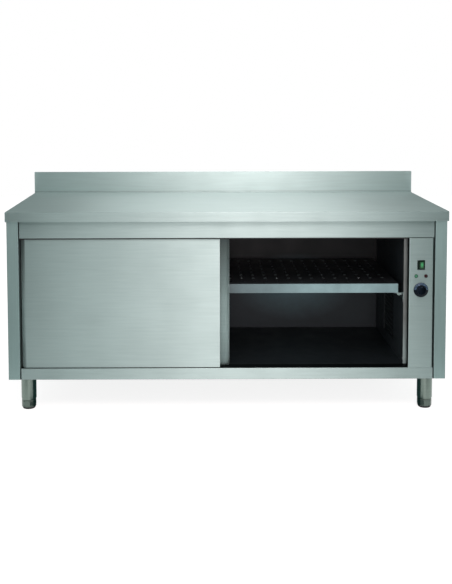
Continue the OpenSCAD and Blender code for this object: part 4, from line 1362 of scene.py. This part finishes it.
    def rocker(self) -> None:
        """Builds the lit rocker in its on position, with its pivot pins and printed marks."""
        low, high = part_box("switch_rocker")
        centre = middle("switch_rocker")
        pivot = Vector((centre.x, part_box("control_panel")[0].y + self.rocker_pivot_y, centre.z))
        turn = Matrix.Translation(pivot) @ Matrix.Rotation(math.radians(self.rocker_tilt_deg), 4, "X")
        half_w = (high.x - low.x) / 2 - self.pin_reach
        half_h, crown, dish, back = self.rocker_half_h, self.rocker_crown, self.rocker_dish, self.rocker_back
        steps = 16
        heights = [half_h * (2 * k / steps - 1) for k in range(steps + 1)]
        face = [(-crown + dish * (1 - (z / half_h) ** 2), z) for z in heights]
        outline = [*face, (back, half_h * self.rocker_taper), (back, -half_h * self.rocker_taper)]
        mesh = bmesh.new()
        sides = [[mesh.verts.new(turn @ Vector((x, y, z))) for y, z in outline] for x in (-half_w, half_w)]
        for i in range(len(outline)):
            j = (i + 1) % len(outline)
            mesh.faces.new((sides[0][i], sides[0][j], sides[1][j], sides[1][i]))
        for side in sides:
            mesh.faces.new(side)
        sharp = 1.0
        rims = [e for e in mesh.edges if len(e.link_faces) == 2 and e.calc_face_angle(0.0) > sharp]
        bmesh.ops.bevel(mesh, geom=rims, offset=self.rocker_edge_r, segments=3, profile=0.5, affect="EDGES")
        reach = half_w + self.pin_reach
        pins = [(0, -reach), (self.pin_r, -reach), (self.pin_r, reach), (0, reach)]
        lathe(mesh, pins, turn @ Matrix.Rotation(math.pi / 2, 4, "Y"), segments=24)
        made = finish_mesh("switch_rocker_moulding", mesh)
        self.keep(made, ROCKER_GREEN, "green_lens", ["switch_rocker"], "switch_rocker")
        self.rocker_marks(turn)

    def rocker_marks(self, turn: Matrix) -> None:
        """Prints the rocker's line for on and ring for off.

        Args:
            turn: the rocker's pivot, tilted as the rocker is.
        """
        marks = bmesh.new()
        y = -self.rocker_crown + self.rocker_dish * 0.62 - 0.1 * MM
        line_low, line_high = (-0.4 * MM, y, 6.6 * MM), (0.4 * MM, y + 0.6 * MM, 9.8 * MM)
        soft_box(marks, line_low, line_high, self.ink_edge_r, turn)
        inner, outer, foot, top = 1.3 * MM, 1.9 * MM, -0.5 * MM, 0.1 * MM
        seat = turn @ along_y((0, y + 0.1 * MM, -8.2 * MM))
        lathe(marks, [(outer, foot), (outer, top), (inner, top), (inner, foot)], seat, segments=32)
        self.keep(finish_mesh("switch_marks", marks), ROCKER_INK, "white_nylon", body="switch_rocker")


# ---------- heating unit and legs ----------


@dataclass
class HeatingUnit(Assembly):
    """Fan, ring element and housing behind the chamber's right wall, and the cable gland."""

    bore_r: float = 4.5 * MM
    flutes: int = 20
    flute_share: float = 0.03
    # Across the corners
    hex_r: float = 13.9 * MM
    hex_t: float = 6.0 * MM
    cap_r: float = 11.9 * MM
    cap_nose_r: float = 8.6 * MM
    stub_r: float = 9.9 * MM
    nut_r: float = 13.4 * MM
    nut_t: float = 5.0 * MM
    seal_t: float = 1.2 * MM
    # The stub's thread is drawn as plain rings: their depth as a share of its radius, and their ripple
    stub_ring_share: float = 0.012
    stub_ripple: float = 0.24 * MM

    def build(self) -> None:
        """Dresses the unit and builds the gland."""
        self.dress(ZINC_PLATE, ["heater_housing", "fan_rotor"])
        self.dress(ELEMENT_SHEATH, ["heater_element"])
        self.dress(MOTOR_ENAMEL, ["fan_motor"])
        self.dress(LINER_SHEET, ["air_grille"])
        self.gland()

    def gland(self) -> None:
        """Builds the cable gland: hexagon, fluted cap, rubber seal and lock nut."""
        low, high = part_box("cable_gland")
        pan_foot, pan_top = (corner.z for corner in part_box("base_pan"))
        place = Matrix.Translation((middle("cable_gland").x, middle("cable_gland").y, 0.0))
        bore, hex_foot, cap_bore = self.bore_r, pan_foot - self.hex_t, self.bore_r + 1 * MM
        mesh = bmesh.new()
        hexagon = [
            (bore, hex_foot), (self.hex_r - 0.7 * MM, hex_foot), (self.hex_r, hex_foot + 1 * MM),
            (self.hex_r, pan_foot), (bore, pan_foot),
        ]
        lathe(mesh, hexagon, place, segments=6)
        cap = [
            (cap_bore, low.z), (self.cap_nose_r, low.z), (self.cap_nose_r + 0.7 * MM, low.z + 1.2 * MM),
            (self.cap_r - 0.5 * MM, hex_foot - 3 * MM), (self.cap_r, hex_foot), (cap_bore, hex_foot),
        ]

        def flute(angle: float, height: float) -> float:
            """Returns the cap's fluting."""
            return 1 - self.flute_share * (math.cos(self.flutes * angle) > 0.3)

        lathe(mesh, cap, place, self.flutes * 4, flute)
        stub = [
            (bore, pan_foot), (self.stub_r, pan_foot), (self.stub_r, high.z - 0.4 * MM),
            (self.stub_r - 0.5 * MM, high.z), (bore, high.z),
        ]
        share, ripple = self.stub_ring_share, self.stub_ripple
        lathe(mesh, stub, place, 40, lambda angle, height: 1 + share * math.cos(height / ripple))
        nut_top = pan_top + self.nut_t
        nut = [(self.stub_r, pan_top), (self.nut_r, pan_top), (self.nut_r, nut_top), (self.stub_r, nut_top)]
        lathe(mesh, nut, place, segments=6)
        self.keep(finish_mesh("cable_gland_moulding", mesh), BLACK_NYLON, "black_nylon", ["cable_gland"])
        seal = bmesh.new()
        foot, wide = low.z + 0.3 * MM, bore + self.seal_t
        section = [(bore, foot), (wide, foot), (wide, pan_foot), (bore, pan_foot), (bore, foot)]
        lathe(seal, section, place, segments=40)
        self.keep(finish_mesh("cable_gland_seal", seal), BLACK_RUBBER, "black_rubber")


@dataclass
class Legs(Assembly):
    """Four tubular legs with plates and nuts, and their screw feet."""

    facets: int = 12
    facet_r: float = 29.5 * MM
    sole_r: float = 25.0 * MM
    sole_h: float = 8.0 * MM
    sole_inset: float = 1.6 * MM
    tube_gap: float = 0.4 * MM
    groove: float = 0.9 * MM
    # How far the grooves lie under the foot's top and over its sole
    groove_drop: float = 6.0 * MM
    groove_rise: float = 5.0 * MM
    spindle_r: float = 6.0 * MM
    thread_pitch: float = 1.75 * MM
    thread_depth: float = 0.9 * MM
    thread_l: float = 56.0 * MM

    def build(self) -> None:
        """Dresses the legs and builds the feet."""
        self.dress(POLISHED_TUBE, ["leg_sleeves"])
        self.dress(MILL_SHEET, ["leg_plates"])
        self.dress(ZINC_PLATE, ["leg_nuts"])
        for row in ("front", "rear"):
            for side in ("left", "right"):
                self.foot(f"foot_{row}_{side}")

    def facet(self, angle: float, height: float) -> float:
        """Returns the factor on the radius that makes the foot's flats."""
        step = 2 * math.pi / self.facets
        return math.cos(step / 2) / math.cos((angle + step / 2) % step - step / 2)

    def foot(self, node: str) -> None:
        """Builds one foot: faceted body with turned grooves, threaded spindle and rubber sole.

        Args:
            node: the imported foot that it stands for.
        """
        place = Matrix.Translation((middle(node).x, middle(node).y, 0.0))
        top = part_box("leg_sleeves")[0].z - self.tube_gap
        radius, groove = self.facet_r, self.groove
        body = [
            (self.spindle_r, top), (radius - 2.0 * MM, top), (radius - 0.4 * MM, top - 0.9 * MM),
            (radius, top - 2.0 * MM),
        ]
        for z in (top - self.groove_drop, self.sole_h + self.groove_rise):
            body += [(radius, z + groove), (radius - groove, z), (radius - groove, z - groove)]
            body.append((radius, z - 2 * groove))
        body += [(radius, self.sole_h + 1.2 * MM), (radius - 1.4 * MM, self.sole_h), (4 * MM, self.sole_h)]
        mesh = bmesh.new()
        lathe(mesh, body, place, self.facets * 8, self.facet)
        self.thread(mesh, place, top - 1 * MM)
        self.keep(finish_mesh(f"{node}_body", mesh, 20), FOOT_STEEL, "foot_steel", [node], node)
        sole = bmesh.new()
        rim = radius - self.sole_inset
        profile = [
            (0.0, 0.0), (self.sole_r - 0.8 * MM, 0.0), (self.sole_r, 0.6 * MM),
            (rim, self.sole_h - 1.0 * MM), (rim, self.sole_h), (0.0, self.sole_h),
        ]
        lathe(sole, profile, place, segments=72)
        self.keep(finish_mesh(f"{node}_sole", sole), SOLE_RUBBER, "foot_steel", body=node)

    def thread(self, mesh: Mesh, place: Matrix, start: float) -> None:
        """Adds the spindle with its screw thread.

        Args:
            mesh: the mesh that gets the thread.
            place: the foot's axis.
            start: height of the thread's lower end.
        """
        rings_per_turn = 6

        def flank(angle: float, height: float) -> float:
            """Returns the thread's ridge at an angle and height."""
            phase = ((height - start) / self.thread_pitch - angle / (2 * math.pi)) % 1.0
            return 1 - self.thread_depth / self.spindle_r * abs(2 * phase - 1)

        rings = int(self.thread_l / self.thread_pitch * rings_per_turn)
        profile = [(self.spindle_r, start + self.thread_l * k / rings) for k in range(rings + 1)]
        lathe(mesh, [*profile, (0.0, start + self.thread_l)], place, 24, flank)


# ---------- studio ----------


@dataclass(frozen=True)
class Softbox:
    """One area light: its middle, its width and height, its power in watts and the point that it faces."""

    name: str
    at: Triple
    size: Pair
    power: float
    aim: Triple


@dataclass(frozen=True)
class CardSide:
    """One side of the studio's grey cards: how far from the middle each of them begins, in metres."""

    name: str
    sign: float
    upright: float
    floor_far: float
    floor_near: float
    back: float
    roof: float


@dataclass
class Studio:
    """White studio: floor, world, softboxes, grey cards and the camera that took the photograph."""

    # The picture that the camera's frame is worked out for
    picture_w: float = 452.0
    picture_h: float = 584.0
    # Fitted to the edges of the worktop, carcass, splashback, switch and feet in the photograph
    camera_at: Triple = (-0.1032, -4.0667, 1.3315)
    yaw: float = -0.0019
    pitch: float = 0.0664
    roll: float = -0.0025
    focal_px: float = 925.15
    axis_px: Pair = (203.1, 148.0)
    sensor_mm: float = 36.0
    floor_size: float = 14.0
    # Strength of the world's plain light, and how much of the floor's white is its own
    diffuse_level: float = 0.6
    shadow_lift: float = 0.84
    # That light and the floor's paint add up to this: over 1, so that the open floor stays white
    floor_white: float = 1.25
    floor_cloud_mm: float = 400.0
    lamp_colour: Triple = (1.0, 0.80, 0.80)
    softboxes: tuple[Softbox, ...] = (
        Softbox("front_softbox", (0.33, -4.75, 1.2), (1.45, 2.0), 50.0, aim=(0.30, 0.0, 0.8)),
        Softbox("key_softbox", (0.28, -3.1, 3.9), (1.4, 1.6), 54.0, aim=(0.28, -0.3, 0.6)),
        Softbox("top_softbox", (0.30, -0.6, 3.2), (1.4, 3.4), 9.0, aim=(0.30, -0.6, 0.0)),
    )
    card_level: float = 0.09
    back_card_level: float = 0.12
    back_card_tint: Triple = (0.85, 1.0, 0.99)
    card_sides: tuple[CardSide, ...] = (
        CardSide("left", -1.0, upright=1.6, floor_far=1.5, floor_near=0.9, back=1.3, roof=0.9),
        CardSide("right", 1.0, upright=1.8, floor_far=1.7, floor_near=0.885, back=1.5, roof=1.1),
    )
    # How far out the cards reach, where the front ones stand and end, and where those at the back do
    card_reach: float = 7.0
    front_y: float = -5.0
    front_top: float = 3.0
    floor_end_y: float = -0.72
    back_y: float = 5.0
    back_top: float = 4.6
    roof_end_y: float = -0.8
    # The cards under the cabinet: their ends along Y, and how far they and the ones at the feet reach
    under_y: Pair = (-0.33, 0.42)
    under_x: float = 0.79
    under_wall_x: float = 0.76
    under_wall_top: float = 0.125
    foot_x: float = 0.7
    foot_y: float = -0.42
    # Cards that lie on the floor or on each other are this far above it
    card_lift: float = 1.0 * MM

    def build(self) -> None:
        """Sets up the whole studio."""
        self.camera()
        self.world()
        self.floor()
        self.cards()
        for softbox in self.softboxes:
            self.light(softbox)
        bpy.context.scene.view_settings.view_transform = "Standard"

    def camera(self) -> None:
        """Makes the camera."""
        data = bpy.data.cameras.new("photo_camera")
        data.sensor_width = self.sensor_mm
        data.lens = self.focal_px / self.picture_h * self.sensor_mm
        data.shift_x = (self.picture_w / 2 - self.axis_px[0]) / self.picture_h
        data.shift_y = (self.axis_px[1] - self.picture_h / 2) / self.picture_h
        made = bpy.data.objects.new("photo_camera", data)
        turn = (
            Matrix.Rotation(self.yaw, 4, "Z")
            @ Matrix.Rotation(math.pi / 2 - self.pitch, 4, "X")
            @ Matrix.Rotation(self.roll, 4, "Z")
        )
        made.matrix_world = Matrix.Translation(self.camera_at) @ turn
        bpy.context.scene.collection.objects.link(made)
        bpy.context.scene.camera = made
        log.info("camera at %s", self.camera_at)

    def shown(self, nodes: Nodes) -> Socket:
        """Returns 1 for the rays that see the white background: of the camera, of gloss and of glass."""
        path = nodes.add("LightPath").node.outputs
        either = nodes.add("Math", (path["Is Camera Ray"], path["Is Glossy Ray"]), operation="MAXIMUM")
        return nodes.add("Math", (either, path["Is Transmission Ray"]), operation="MAXIMUM")

    def world(self) -> None:
        """Makes the world: white where it shows, and soft plain light for the rest."""
        world = bpy.data.worlds.new("white_studio")
        world.use_nodes = True
        nodes = Nodes(world.node_tree)
        soft = nodes.add("Background", (WHITE, self.diffuse_level))
        white = nodes.add("Background", (WHITE, 1.0))
        mix = nodes.add("MixShader", (self.shown(nodes), soft, white))
        nodes.add("OutputWorld", (mix,))
        bpy.context.scene.world = world

    def floor(self) -> None:
        """Makes the white floor, which keeps the cabinet's shadow."""
        mesh = bmesh.new()
        bmesh.ops.create_grid(mesh, x_segments=1, y_segments=1, size=self.floor_size / 2)
        made = finish_mesh("studio_floor", mesh)
        # Matt white paper, whose clouds are too faint to see on the white background
        canvas = Canvas("studio_floor_white")
        greys = ((0.86, 0.86, 0.86, 1.0), (0.9, 0.9, 0.9, 1.0))
        paint = canvas.add("Mix", (canvas.blotches(self.floor_cloud_mm), *greys), data_type="RGBA")
        pale = canvas.add("BsdfDiffuse", ([self.floor_white - self.shadow_lift] * 3 + [1.0],))
        lift = canvas.add("Emission", (WHITE, self.shadow_lift))
        both = canvas.add("AddShader", (pale, lift))
        mix = canvas.add("MixShader", (self.shown(canvas), canvas.shader.outputs[0], both))
        canvas.tree.links.new(mix, canvas.output.inputs["Surface"])
        made.data.materials.append(canvas.finished(Base_Color=paint, Roughness=0.9))

    def card(self, name: str, corners: Sequence[Triple], finish: StudioCard) -> None:
        """Hangs one card, which only reflections see.

        Args:
            name: name of the card.
            corners: its corners, in order.
            finish: its finish.
        """
        mesh = bmesh.new()
        mesh.faces.new([mesh.verts.new(c) for c in corners])
        made = finish_mesh(f"studio_card_{name}", mesh)
        made.data.materials.append(material_of(finish))
        made.visible_camera = False
        made.visible_diffuse = False
        made.visible_shadow = False

    def cards(self) -> None:
        """Hangs the grey cards in front of the cabinet, behind it and under it."""
        grey = StudioCard("studio_card_grey", self.card_level)
        back = StudioCard("studio_card_back", self.back_card_level, self.back_card_tint)
        near_y, far_y = self.under_y
        reach, lift = self.card_reach, self.card_lift

        def rise(x0: float, x1: float, y: float, top: float) -> list[Triple]:
            """Returns the corners of a card that faces the front, from the floor to its top."""
            return [(x0, y, 0.0), (x1, y, 0.0), (x1, y, top), (x0, y, top)]

        def lie(x0: float, y0: float, x1: float, y1: float) -> list[Triple]:
            """Returns the corners of a level card just over the floor."""
            return [(x0, y0, 2 * lift), (x1, y0, 2 * lift), (x1, y1, 2 * lift), (x0, y1, 2 * lift)]

        self.card("under", lie(-self.under_x, near_y, self.under_x, far_y), grey)
        for side in self.card_sides:
            floor = [
                (reach, self.front_y, lift), (side.floor_far, self.front_y, lift),
                (side.floor_near, self.floor_end_y, lift), (reach, self.floor_end_y, lift),
            ]
            wall_x, top = self.under_wall_x, self.under_wall_top
            wall = [(wall_x, near_y, 0.0), (wall_x, far_y, 0.0), (wall_x, far_y, top), (wall_x, near_y, top)]
            roof = [
                (reach, self.roof_end_y, self.back_top), (side.roof, self.roof_end_y, self.back_top),
                (side.back, self.back_y, self.back_top), (reach, self.back_y, self.back_top),
            ]
            hung = (
                ("", rise(reach, side.upright, self.front_y, self.front_top), grey),
                ("floor_", floor, grey),
                ("foot_", lie(self.under_x, self.foot_y, self.foot_x, near_y), grey),
                ("under_", wall, grey),
                ("back_", rise(reach, side.back, self.back_y, self.back_top), back),
                ("back_roof_", roof, back),
            )
            for part, corners, finish in hung:
                self.card(part + side.name, [(side.sign * x, y, z) for x, y, z in corners], finish)

    def light(self, softbox: Softbox) -> None:
        """Adds one softbox.

        Args:
            softbox: where it hangs, its size, its power and its aim.
        """
        data = bpy.data.lights.new(softbox.name, "AREA")
        data.shape = "RECTANGLE"
        data.size, data.size_y = softbox.size
        data.energy = softbox.power
        data.color = self.lamp_colour
        made = bpy.data.objects.new(softbox.name, data)
        made.visible_camera = False
        made.location = softbox.at
        made.rotation_mode = "QUATERNION"
        made.rotation_quaternion = (Vector(softbox.aim) - Vector(softbox.at)).to_track_quat("-Z", "Y")
        bpy.context.scene.collection.objects.link(made)
        log.info("%s gives %.0f W", softbox.name, softbox.power)


def main() -> None:
    """Builds every sub-assembly and the studio, in order."""
    logging.basicConfig(level=logging.INFO, format="%(name)s: %(message)s")
    for assembly in (Worktop(), Carcass(), Chamber(), SlidingDoors(), Controls(), HeatingUnit(), Legs()):
        log.info("building %s", type(assembly).__name__)
        assembly.build()
    Studio().build()


if __name__ == "__main__":
    main()
